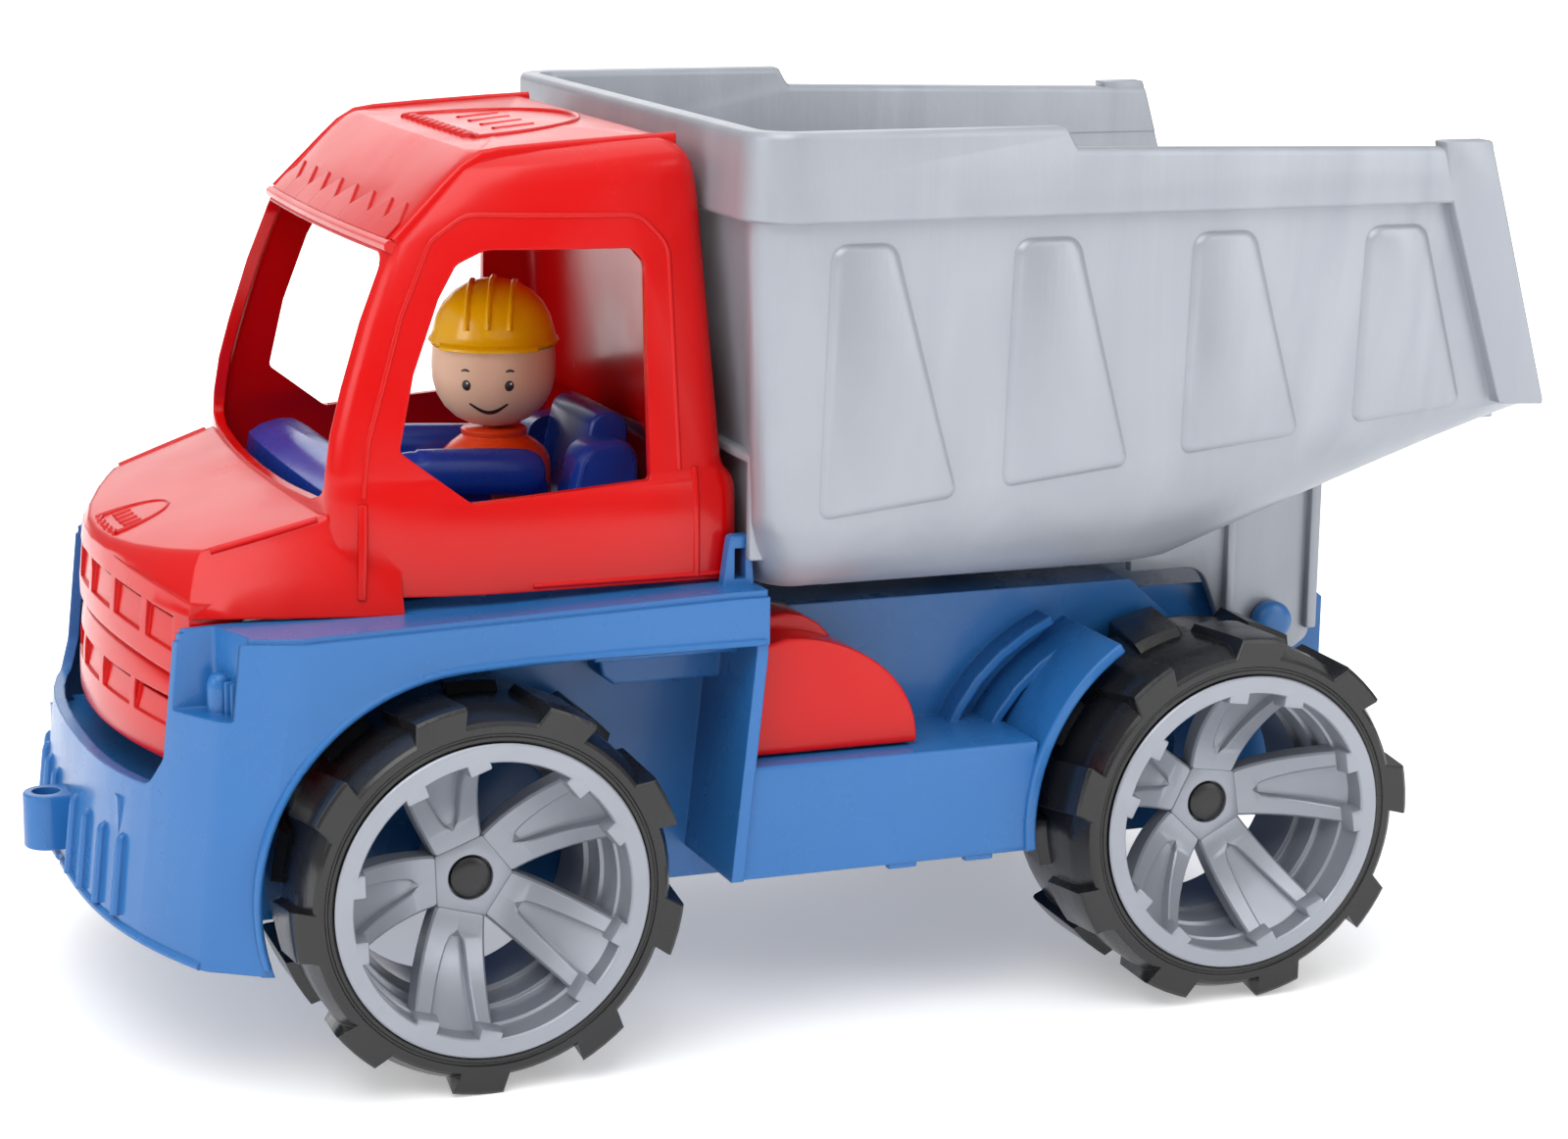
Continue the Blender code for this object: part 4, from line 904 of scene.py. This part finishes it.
inside = union(floor_pan, loft(dash), chair(0.0))
piece("interior_look", inside, DEEP, "truck", ("cab_interior",), 24)
legs = prism_y(fillet([(38.0, 91.4), (38.0, 99.6), (44.0, 100.2), (64.0, 98.8), (70.2, 97.0), (70.2, 90.9), (58.4, 90.6), (56.0, 94.2), (50.0, 94.0)], [1.5, 2.5, 1.5, 3.0, 2.6, 1.4, 1.0, 1.0, 0], 5), DY - 9.0, DY + 9.0)
piece("legs_look", soften(legs, 1.0, 3, 40), DEEP, "truck", ("driver_legs",), 34)

# ---------------------------------------------------------------------- chassis
def nose_drop(y):
    return 2.7 * (abs(y) / 35.0) ** 3.05


def nose_x(y, z):
    return 134.0 - 0.103 * (z - 24.0) - nose_drop(y)


def front_outline(z, inset=0.0, back=13.4):
    """Left half of the plan of the front end, rounded at the corner."""
    pts = [(nose_x(y, z) - inset, y) for y in (0, 8, 16, 24, 32, 40, 46, 51, 55)]
    c = nose_x(60, z)
    corner = fillet([(nose_x(55, z), 55.0), (c - 0.6, 61.4), (c - 10.5, 66.2), (101.0, 67.0), (90.0, 67.0)], [0, 5.6, 0, 0, 0], 6)[1:-1]
    for x, y in corner:
        pts.append((x - inset * (0.8 if y < 64 else 0.15), y - inset * (0.75 if y < 64 else 1.0)))
    pts += [(80.0, 67.0 - inset), (50.0, 67.0 - inset), (20.0, 67.0 - inset), (back, 67.0 - inset)]
    return pts


def u_ring(z, back=13.4, wall=2.2):
    out = front_outline(z, 0.0, back)
    inn = front_outline(z, wall, back)
    outer = out[::-1] + [(x, -y) for x, y in out[1:]]
    inner = inn[::-1] + [(x, -y) for x, y in inn[1:]]
    return [(x, y, z) for x, y in outer + inner[::-1]]


def deck_z(x):
    return 87.2 - 0.033 * max(0.0, x - 20.0)


def deck_plan(z, inset):
    out = front_outline(z, inset, 13.6)
    return [(x, y) for x, y in out[::-1]] + [(x, -y) for x, y in out[1:]]


skin = loft([u_ring(19.0), u_ring(90.0)])
arch_line = fillet([(12.0, 0.0), (12.0, 77.0), (62.0, 77.0)], [0, 0, 0], 1) + arc(X_FRONT_AXLE, Z_AXLE, 40.2, 84, -33, 40) + [(100.0, 0.0)]
opening = prism_x(fillet([(-48.6, 99.0), (-48.6, 60.0), (-45.0, 54.4), (0.0, 53.6), (45.0, 54.4), (48.6, 60.0), (48.6, 99.0)], [0, 3, 4, 0, 4, 3, 0], 6), 95.0, 150.0)
foot = prism_x([(-80.0, 10.0)] + [(y, 27.5 - 3.6 * (y / 60.0) ** 2) for y in range(-66, 67, 6)] + [(80.0, 10.0)], 60.0, 150.0)
top = prism_y([(0.0, deck_z(0) - 1.2), (20.0, deck_z(20) - 1.2), (104.0, deck_z(104) - 0.9), (114.0, 83.2), (121.0, 81.6), (126.0, 79.8), (150.0, 78.0), (150.0, 99.0), (0.0, 99.0)], -80, 80)
skin = cut(skin, prism_y(arch_line, 50, 80), prism_y(arch_line, -80, -50), opening, foot, top)
deck = loft([[(x, y, z) for x, y in deck_plan(85.0, ins)] for z, ins in ((60.0, 0.9), (82.0, 0.9), (100.0, 0.9))])
deck = cut(deck, prism_y([(0.0, 110.0), (0.0, deck_z(0)), (20.0, deck_z(20)), (150.0, deck_z(150)), (150.0, 110.0)], -90, 90),
           prism_y([(0.0, 50.0), (0.0, deck_z(0) - 2.4), (20.0, deck_z(20) - 2.4), (150.0, deck_z(150) - 2.4), (150.0, 50.0)], -90, 90),
           box(91.5, 150.0, -48.6, 48.6, 20.0, 110.0))
spine = (prism_y([(-86.0, 25.0), (-86.0, 62.0), (-84.0, 69.0), (-74.5, 77.6), (16.0, 77.6), (16.0, 86.0), (91.0, 85.0), (91.0, 53.0), (121.0, 50.0), (129.0, 50.0), (129.0, 30.0), (118.0, 25.0)],
                       -40.4, 40.4))
spine = cut(spine, box(124.0, 140.0, 36.0, 50.0, 0.0, 60.0), box(124.0, 140.0, -50.0, -36.0, 0.0, 60.0))
rear = (prism_y([(-123.0, 30.0), (-123.0, 69.0), (-117.0, 74.0), (-80.4, 74.0), (-80.4, 25.4), (-118.0, 25.4)], -33.2, 33.2))
parts = [skin, deck, spine, rear]
for s in (-1, 1):
    def ys(a, b, s=s):
        return (a, b) if s > 0 else (-b, -a)
    parts.append(soften(prism_y([(18.0, 53.0), (19.0, 31.0), (-41.5, 31.0), (-42.0, 42.0), (-43.6, 53.0)], *ys(39.1, 65.0)), 0.8, 3, 40))
    parts.append(prism_y([(13.5, 85.6), (15.9, 85.6), (15.6, 75.5), (20.3, 31.4), (17.8, 31.4), (13.4, 75.0)], *ys(39.3, 66.3)))
    strip = arc(X_REAR_AXLE, Z_AXLE, 42.3, -6.6, 57, 22) + arc(X_REAR_AXLE, Z_AXLE, 40.0, 57, -6.6, 22)
    parts.append(soften(prism_y(strip, *ys(39.6, 66.0)), 0.5, 2, 40))
    for curve, half in (([(-39.4, 50.0), (-42.2, 54.6), (-46.0, 59.4), (-51.0, 63.8), (-56.6, 67.4), (-61.4, 69.8)], 50.0),
                        ([(-32.4, 50.0), (-35.0, 55.4), (-38.8, 60.8), (-43.8, 65.6), (-49.4, 69.4), (-54.6, 72.0)], 46.5)):
        norm = []
        for k in range(len(curve)):
            (ax, az), (bx, bz) = curve[max(k - 1, 0)], curve[min(k + 1, len(curve) - 1)]
            l = math.hypot(bx - ax, bz - az)
            norm.append(((az - bz) / l, (bx - ax) / l))
        up = [(x - u * 0.95, z - w * 0.95) for (x, z), (u, w) in zip(curve, norm)]
        dn = [(x + u * 0.95, z + w * 0.95) for (x, z), (u, w) in zip(curve, norm)]
        parts.append(soften(prism_y(up + dn[::-1], *ys(38.6, half)), 0.4, 2, 50))
    # clip tab, rounded head
    tab_line = fillet([(14.2, 86.0), (14.9, 96.6), (19.1, 96.6), (20.6, 86.0)], [0, 1.0, 1.0, 0], 4)
    parts.append(soften(prism_y(tab_line, *ys(57.9, 60.8)), 0.35, 2, 50))
    for x in (-18.5, -34.5):
        parts.append(soften(box(x, x + 6.0, *ys(60.0, 64.4), 30.0, 32.0), 0.4, 2))
    parts.append(revolve([(0.0, 30.0), (6.4, 30.0), (6.4, 34.0), (6.1, 34.6), (0.0, 34.6)], 40, (PIVOT_X, 0.0, PIVOT_Z), (0, s, 0)))
    # bracket under the fender and the shelf line of the side wall
    parts.append(soften(prism_y([(14.6, 76.6), (14.6, 66.6), (37.4, 66.6), (39.8, 68.4), (41.4, 76.6)], *ys(38.7, 48.0)), 0.6, 2, 40))
    parts.append(soften(box(15.0, 44.0, *ys(38.9, 56.0), 73.2, 75.4), 0.5, 2))
    # pod behind the headlight
    pod = [(111.9, 48.8), (nose_x(48.8, 75) - 1.2, 48.8), (nose_x(54, 75) - 1.2, 54.0), (nose_x(58.4, 75) - 1.2, 58.4), (nose_x(60, 75) - 5.9, 63.0), (107.0, 64.4)]
    parts.append(prism_z([(x, s * y) for x, y in pod], 67.6, 83.2))
    # rolled edge of the wheel arch
    rim_path = [(x, s * 66.9, z) for x, z in [(14.2, 77.6), (30.0, 77.6), (46.0, 77.6), (60.0, 77.4)] + arc(X_FRONT_AXLE, Z_AXLE, 41.0, 88, -16, 26)]
    parts.append(bar(rim_path, (0.0, s, 0.0), 1.5, 0.75, 1.2))
# tow eye: a standing sleeve with a neck
eye = [(136.0 + 4.6 * math.cos(t), 4.6 * math.sin(t)) for t in [math.radians(-100 + 200 * k / 24) for k in range(25)]] + [(130.4, 4.4), (130.4, -4.4)]
parts.append(soften(prism_z(eye, 31.2, 42.0), 0.5, 3, 40))
# rolled lip along the bumper foot
lip_path = []
for k in range(41):
    y = -60.5 + 121.0 * k / 40
    z = 27.5 - 3.6 * (y / 60.0) ** 2 + 0.6
    lip_path.append((nose_x(y, z) - 0.1, y, z))
parts.append(bar(lip_path, (1.0, 0.0, -0.2), 1.7, 1.0, 1.2))
# ribs on the bumper
for y in (-38.0, -29.5, -20.0, -10.0, 10.0, 20.0, 29.5, 38.0):
    slope = -2.7 * 3.05 / 35.0 * (abs(y) / 35.0) ** 2.05 * (1 if y > 0 else -1)
    l = math.hypot(1.0, slope)
    nx, ny = 1.0 / l, -slope / l
    rings = []
    for z, p, w in ((28.4, 1.5, 1.0), (36.0, 1.45, 1.0), (42.0, 1.4, 0.95), (42.9, 1.2, 0.85), (43.5, 0.7, 0.6), (43.7, -0.1, 0.4)):
        rings.append([(nose_x(y, z) + nx * d - ny * q, y + ny * d + nx * q, z) for d, q in ((-1.3, -w), (p * 0.45, -w), (p * 0.85, -w * 0.6), (p, 0.0), (p * 0.85, w * 0.6), (p * 0.45, w), (-1.3, w))])
    parts.append(loft(rings))
body = union(*parts)
hollows = [prism_y([(-83.6, 0.0), (-83.6, 61.0), (-82.0, 67.6), (-73.6, 75.2), (18.4, 75.2), (18.4, 83.0), (88.6, 82.0), (88.6, 50.6), (126.5, 47.6), (126.5, 0.0)], -38.2, 38.2),
           prism_y([(-120.6, 0.0), (-120.6, 67.8), (-116.0, 71.6), (-86.2, 71.6), (-86.2, 0.0)], -31.0, 31.0)]
for s in (-1, 1):
    y0, y1 = (40.6, 62.8) if s > 0 else (-62.8, -40.6)
    hollows.append(prism_y([(15.2, 50.8), (16.6, 0.0), (-39.2, 0.0), (-39.4, 42.0), (-41.0, 50.8)], y0, y1))
    notch = fillet([(113.5, 49.9), (145.0, 49.9), (145.0, 62.2), (109.2, 62.2)], [1.0, 0, 0, 1.2], 4)
    hollows.append(soften(prism_z([(x, s * y) for x, y in notch], 69.3, 99.0), 0.4, 2, 60))
    hollows.append(box(16.0, 18.2, *((56.0, 62.0) if s > 0 else (-62.0, -56.0)), 88.4, 94.2))
for x in (X_FRONT_AXLE, X_REAR_AXLE):
    hollows.append(revolve([(0.0, -50.0), (2.4, -50.0), (2.4, 50.0), (0.0, 50.0)], 32, (x, 0.0, Z_AXLE), (0, 1, 0)))
hollows.append(revolve([(0.0, -50.0), (3.7, -50.0), (3.7, 50.0), (0.0, 50.0)], 32, (PIVOT_X, 0.0, PIVOT_Z), (0, 1, 0)))
hollows.append(prism_z([(136.2 + 2.7 * math.cos(math.radians(15 * k)), 2.7 * math.sin(math.radians(15 * k))) for k in range(24)], 20.0, 60.0))
body = cut(body, *hollows)
fittings = []
for s in (-1, 1):
    lamp = [(113.4 + r * math.cos(math.radians(t)), s * 53.6 + r * math.sin(math.radians(t))) for r, t in [(2.4, 15 * k) for k in range(24)]]
    rings = []
    for z, f in ((68.4, 1.0), (73.6, 1.0), (74.8, 0.94), (75.7, 0.8), (76.3, 0.55), (76.5, 0.2)):
        rings.append([(113.4 + (x - 113.4) * f, s * 53.6 + (y - s * 53.6) * f, z) for x, y in lamp])
    fittings.append(loft(rings))
    for x, y in ((111.0, 57.2), (110.3, 59.0), (109.7, 60.8)):
        fittings.append(soften(box(x - 1.2, x + 2.4, s * y - 0.38, s * y + 0.38, 68.4, 75.6), 0.25, 2))
body = union(body, *fittings)
piece("chassis_look", body, BLUE, "truck", ("chassis",), 18)

# -------------------------------------------------------------------- side tanks
def tank(s):
    def ys(a, b):
        return (a, b) if s > 0 else (-b, -a)
    big = fillet([(14.6, 53.6), (12.9, 74.6), (7.2, 76.0)] + [(8.0 - 27.8 * math.sin(math.radians(a)), 54.6 + 21.4 * math.cos(math.radians(a))) for a in range(8, 89, 6)] + [(-19.8, 53.6)],
                 [0.6, 2.6] + [0.0] * 15 + [0.6], 4)
    small = fillet([(14.2, 53.6), (12.0, 78.0), (4.0, 78.8)] + [(4.0 - 13.0 * math.sin(math.radians(a)), 60.8 + 18.0 * math.cos(math.radians(a))) for a in (15, 30, 45, 60, 75, 88)] + [(-9.4, 53.6)],
                   [0.6, 2.0] + [0.0] * 7 + [0.6], 4)
    return union(soften(prism_y(big, *ys(50.0, 60.0)), 1.5, 5, 40), soften(prism_y(small, *ys(40.8, 51.5)), 1.2, 4, 40))


for tag, s in (("left", 1), ("right", -1)):
    piece("tank_look_" + tag, tank(s), RED, "truck", ("side_tank_" + tag,), 36)
    pin = revolve([(0.0, 28.0), (3.4, 28.0), (3.4, 38.2), (4.0, 38.25), (4.2, 38.5), (4.2, 40.2), (4.0, 40.9), (3.3, 41.4), (2.0, 41.65), (0.0, 41.75)], 40, (PIVOT_X, 0.0, PIVOT_Z), (0, s, 0))
    piece("pin_look_" + tag, pin, BLUE, "truck", ("hinge_pin_" + tag,), 40)

# ------------------------------------------------------------------ tipping body
def crease(x):
    return 99.3 + (16.2 - x) * 0.1112


def bed_floor(x):
    return 85.2 if x > -70.0 else 85.2 + (-70.0 - x) * 0.353


def bed_section(x, i=0.0, z_top=168.0, back=0.0):
    """Cross-section of the tub; back is not used."""
    zc, zf = crease(x), bed_floor(x)
    zf = min(zf, zc - 1.4)
    h = 73.0 - i
    half = [(h, z_top), (h, zc + i * 0.2 + 2.2), (h - 0.25, zc + i * 0.2 + 0.6), (h - 0.9, zc - 0.14 * (zc - zf) + i * 0.35), (h - 5.5, zc - 0.55 * (zc - zf) + i * 0.6),
            (h - 9.4, zc - 0.80 * (zc - zf) + i * 0.8), (h - 12.0, zf + i + 0.09 * (zc - zf)), (h - 14.6, zf + i + 0.03 * (zc - zf)), (h - 17.6, zf + i)]
    return [(x, y, z) for y, z in half] + [(x, -y, z) for y, z in half[::-1]]


def front_x(z):
    if z < 99.0:
        return 11.6 + (z - 85.0) * 0.36
    return 16.6 + (z - 99.0) * 0.034


def tub(i, z_top, rear):
    rings = [bed_section(x, i, z_top) for x in ([-148.0, -139.0, -130.0, -115.0, -100.0, -85.0, -72.0, -66.0, -50.0, -30.0, -10.0] if not rear else [-158.0, -139.0, -130.0, -115.0, -100.0, -85.0, -72.0, -66.0, -50.0, -30.0, -10.0])]
    R = 7.0
    for k in range(0, 8):
        th = math.radians(90.0 * k / 7)
        pull = R * (1 - math.sin(th))          # distance behind the front wall
        nar = R * (1 - math.cos(th))
        ring = []
        base = bed_section(14.0, i, z_top)
        for _, y, z in base:
            fx = front_x(z) - i - pull
            hw = max(abs(p[1]) for p in base)
            sc = (hw - nar) / hw
            zz = z
            if z < 100 and nar > 0:
                zz = z + nar * 0.25 * (abs(y) / hw) ** 2
            ring.append((fx, y * sc, zz))
        rings.append(ring)
    return loft(rings)


bed = cut(tub(0.0, 164.0, False), tub(2.3, 200.0, True))


def rim_top(x):
    if x > -40.0:
        return 172.0
    return table(-x, [(40.0, 172.0), (40.8, 171.7), (42.6, 168.6), (43.6, 168.05), (146.0, 165.75)])


def rim_section(off, zt):
    return [(off + q, z) for q, z in ((-2.5, 155.9), (1.4, 155.6), (2.2, 155.7), (2.62, 156.2), (2.6, 158.5), (2.25, 163.0), (2.2, zt - 1.5), (2.05, zt - 0.7), (1.6, zt - 0.15),
                                      (1.0, zt), (-1.3, zt), (-1.9, zt - 0.15), (-2.35, zt - 0.7), (-2.5, zt - 1.5))]


rings = []
xs = [-146.0, -130.0, -110.0, -90.0, -70.0, -50.0, -44.6, -43.6, -42.9, -42.2, -41.5, -40.8, -40.0, -38.0, -20.0, 0.0, 8.0]
for x in xs:
    rings.append([(x, 73.0 + q, z) for q, z in rim_section(0.0, rim_top(x))])
for k in range(11):
    t = math.radians(90.0 - 9.0 * k)
    rings.append([(10.4 + (7.5 + q) * math.cos(t), 65.5 + (7.5 + q) * math.sin(t), z) for q, z in rim_section(0.0, 172.0)])
rings.append([(17.9 + q, 0.0, z) for q, z in rim_section(0.0, 172.0)])
rings += [[(x, -y, z) for x, y, z in r] for r in rings[-2::-1]]
band = loft(rings)
pieces_ = [bed, band]
for s in (-1, 1):
    y0, y1 = (71.0, 75.7) if s > 0 else (-75.7, -71.0)
    post = fillet([(-131.0, 167.5), (-120.6, 167.5), (-123.2, 154.8), (-135.2, 117.4), (-135.9, 115.9), (-146.4, 115.4), (-146.8, 117.4)], [0, 0, 3.0, 0, 0.8, 0.8, 0], 4)
    pieces_.append(soften(prism_y(post, y0, y1), 0.5, 2, 50))
    for (a, b, c, d) in ((3.8, -6.9, -20.1, 5.5), (-32.6, -43.7, -55.3, -31.2), (-69.4, -80.5, -91.6, -68.3), (-106.6, -117.6, -127.3, -105.3)):
        def side_pt(x, z, grow):
            return (x, z)
        base = [(a + 0.9, 151.6), (b - 0.9, 151.6), (c - 1.1, crease(c) + 0.6), (d + 0.9, crease(d) + 0.6)]
        face = [(a - 0.4, 150.4), (b + 0.3, 150.4), (c + 0.6, crease(c) + 2.0), (d - 0.4, crease(d) + 2.0)]
        base, face = fillet(base, [3.4, 3.4, 2.0, 2.0], 5), fillet(face, [2.6, 2.6, 1.2, 1.2], 5)
        mid = [((p[0] + q[0]) / 2, (p[1] + q[1]) / 2) for p, q in zip(base, face)]
        pieces_.append(loft([[(x, s * 71.6, z) for x, z in base], [(x, s * 73.05, z) for x, z in base], [(x, s * 73.75, z) for x, z in mid], [(x, s * 74.05, z) for x, z in face]]))
pieces_.append(soften(box(-145.4, -139.0, -59.0, 59.0, 110.0, 113.4), 0.5, 2))
pieces_.append(soften(box(11.2, 16.2, -63.0, 63.0, 92.0, 112.0), 0.6, 2))
bed = union(*pieces_)
slant = prism_y([(-131.0, 174.0), (-131.2, 166.0), (-145.6, 116.6), (-145.6, 100.0), (-175.0, 100.0), (-175.0, 190.0), (-131.0, 190.0)], -85, 85)
bed = cut(bed, box(13.6, 40.0, -61.4, 61.4, 80.0, 110.4), slant)
piece("bed_look", bed, SILVER, "tipping_body", ("dump_bed",), 32)

sub = []
for s in (-1, 1):
    def ys(a, b, s=s):
        return (a, b) if s > 0 else (-b, -a)
    web = [(-8.0, 84.8), (-8.0, 80.4), (-76.0, 80.4), (-76.0, 78.3), (-92.0, 78.3), (-98.6, 62.0), (-103.0, 59.6), (-114.0, 59.6), (-117.6, 62.0), (-118.6, 92.0),
           (-118.6, bed_floor(-118.6) - 0.5), (-70.0, 84.8)]
    web = fillet(web, [0, 1.0, 0, 0, 5.0, 4.0, 3.0, 3.0, 3.0, 0, 0, 0], 5)
    sub.append(soften(prism_y(web, *ys(35.0, 37.6)), 0.35, 2, 60))
    sub.append(soften(box(-99.2, -97.0, *ys(37.0, 39.4), 66.0, 93.6), 0.45, 2))
    sub.append(soften(box(-118.4, -116.0, *ys(37.0, 39.4), 64.0, 100.6), 0.45, 2))
    sub.append(box(-75.0, -10.0, *ys(27.5, 35.6), 81.6, 84.2))
sub.append(prism_y([(-112.0, 90.0), (-112.0, bed_floor(-112.0) - 0.9), (-110.0, bed_floor(-110.0) - 0.9), (-110.0, 90.0)], -36.0, 36.0))
sub.append(box(-60.0, -57.6, -29.0, 29.0, 82.0, 84.0))
sub = cut(union(*sub), revolve([(0.0, -60.0), (3.7, -60.0), (3.7, 60.0), (0.0, 60.0)], 36, (PIVOT_X, 0.0, PIVOT_Z), (0, 1, 0)))
piece("subframe_look", sub, SILVER, "tipping_body", ("bed_subframe",), 30)

#---BODY---

# ------------------------------------------------------------------- the scene
bpy.ops.mesh.primitive_plane_add(size=30.0, location=(0.0, 0.0, 0.0))
ground = bpy.context.object
ground.name = "floor"
gm = bpy.data.materials.new("floor_paper_painted_glow")
gm.use_nodes = True
gb = gm.node_tree.nodes["Principled BSDF"]
gn = gm.node_tree.nodes.new("ShaderNodeTexNoise")
gn.inputs["Scale"].default_value = 3.0
gr = gm.node_tree.nodes.new("ShaderNodeValToRGB")
gr.color_ramp.elements[0].color = (0.86, 0.86, 0.865, 1)
gr.color_ramp.elements[1].color = (0.89, 0.89, 0.895, 1)
gm.node_tree.links.new(gn.outputs["Fac"], gr.inputs["Fac"])
gm.node_tree.links.new(gr.outputs["Color"], gb.inputs["Base Color"])
# painted light: the floor glows, weakly beside the truck and more strongly further out, so the far floor reads white
gc = gm.node_tree.nodes.new("ShaderNodeTexCoord")
gl = gm.node_tree.nodes.new("ShaderNodeVectorMath")
gl.operation = "LENGTH"
gm.node_tree.links.new(gc.outputs["Object"], gl.inputs[0])
ge = gm.node_tree.nodes.new("ShaderNodeMapRange")
ge.inputs["From Min"].default_value = 0.20
ge.inputs["From Max"].default_value = 1.1
ge.inputs["To Min"].default_value = 0.34
ge.inputs["To Max"].default_value = 0.85
gm.node_tree.links.new(gl.outputs["Value"], ge.inputs["Value"])
gm.node_tree.links.new(ge.outputs["Result"], gb.inputs["Emission Strength"])
gb.inputs["Emission Color"].default_value = (1.0, 1.0, 1.0, 1.0)
gb.inputs["Roughness"].default_value = 0.75
gb.inputs["Specular IOR Level"].default_value = 0.15
ground.data.materials.append(gm)

world = bpy.data.worlds.new("studio")
bpy.context.scene.world = world
world.use_nodes = True
wb = world.node_tree.nodes["Background"]
wb.inputs["Color"].default_value = (1.0, 1.0, 1.0, 1.0)
wc = world.node_tree.nodes.new("ShaderNodeTexCoord")
ws = world.node_tree.nodes.new("ShaderNodeSeparateXYZ")
wr = world.node_tree.nodes.new("ShaderNodeMapRange")
wr.inputs["From Min"].default_value = 0.05
wr.inputs["From Max"].default_value = 0.75
wr.inputs["To Min"].default_value = 0.24
wr.inputs["To Max"].default_value = 0.80
world.node_tree.links.new(wc.outputs["Generated"], ws.inputs["Vector"])
world.node_tree.links.new(ws.outputs["Z"], wr.inputs["Value"])
world.node_tree.links.new(wr.outputs["Result"], wb.inputs["Strength"])


def softbox(name, loc, aim, size, power, shape="RECTANGLE", size_y=None):
    d = bpy.data.lights.new(name, "AREA")
    d.shape = shape
    d.size = size
    d.size_y = size_y or size
    d.energy = power
    o = bpy.data.objects.new(name, d)
    o.location = loc
    o.rotation_euler = (Vector(aim) - Vector(loc)).to_track_quat("-Z", "Y").to_euler()
    bpy.context.scene.collection.objects.link(o)
    return o


softbox("key", (0.55, 0.75, 1.15), (0.0, 0.0, 0.08), 0.9, 8.5)
softbox("top", (-0.1, -0.1, 1.4), (0.0, 0.0, 0.1), 1.3, 7.0)
softbox("side", (-0.75, 0.95, 0.55), (-0.02, 0.0, 0.08), 0.5, 3.6, size_y=0.9)
softbox("front", (1.1, 0.25, 0.5), (0.1, 0.0, 0.08), 0.5, 2.4)
softbox("back", (-0.2, -1.2, 0.7), (0.0, 0.0, 0.1), 1.0, 3.4)

a, e, roll = math.radians(158.5), math.radians(12.53), math.radians(0.75)
zv = Vector((math.sin(a) * math.cos(e), -math.cos(a) * math.cos(e), math.sin(e)))
xv = Vector((0, 0, 1)).cross(zv).normalized()
yv = zv.cross(xv)
x2 = math.cos(roll) * xv + math.sin(roll) * yv
y2 = -math.sin(roll) * xv + math.cos(roll) * yv
cam_at = P(-10.7, 0.0, 80.0) + (x2 * 4.5 + y2 * -4.5 + zv * 710.0) * MM
cd = bpy.data.cameras.new("camera")
cd.sensor_fit = "HORIZONTAL"
cd.sensor_width = 36.0
cd.lens = 3536.0 * 36.0 / 1600.0
cd.clip_start = 0.01
cam = bpy.data.objects.new("camera", cd)
cam.matrix_world = Matrix(((x2.x, y2.x, zv.x, cam_at.x), (x2.y, y2.y, zv.y, cam_at.y), (x2.z, y2.z, zv.z, cam_at.z), (0, 0, 0, 1)))
bpy.context.scene.collection.objects.link(cam)
bpy.context.scene.camera = cam
bpy.context.scene.view_settings.view_transform = "Standard"
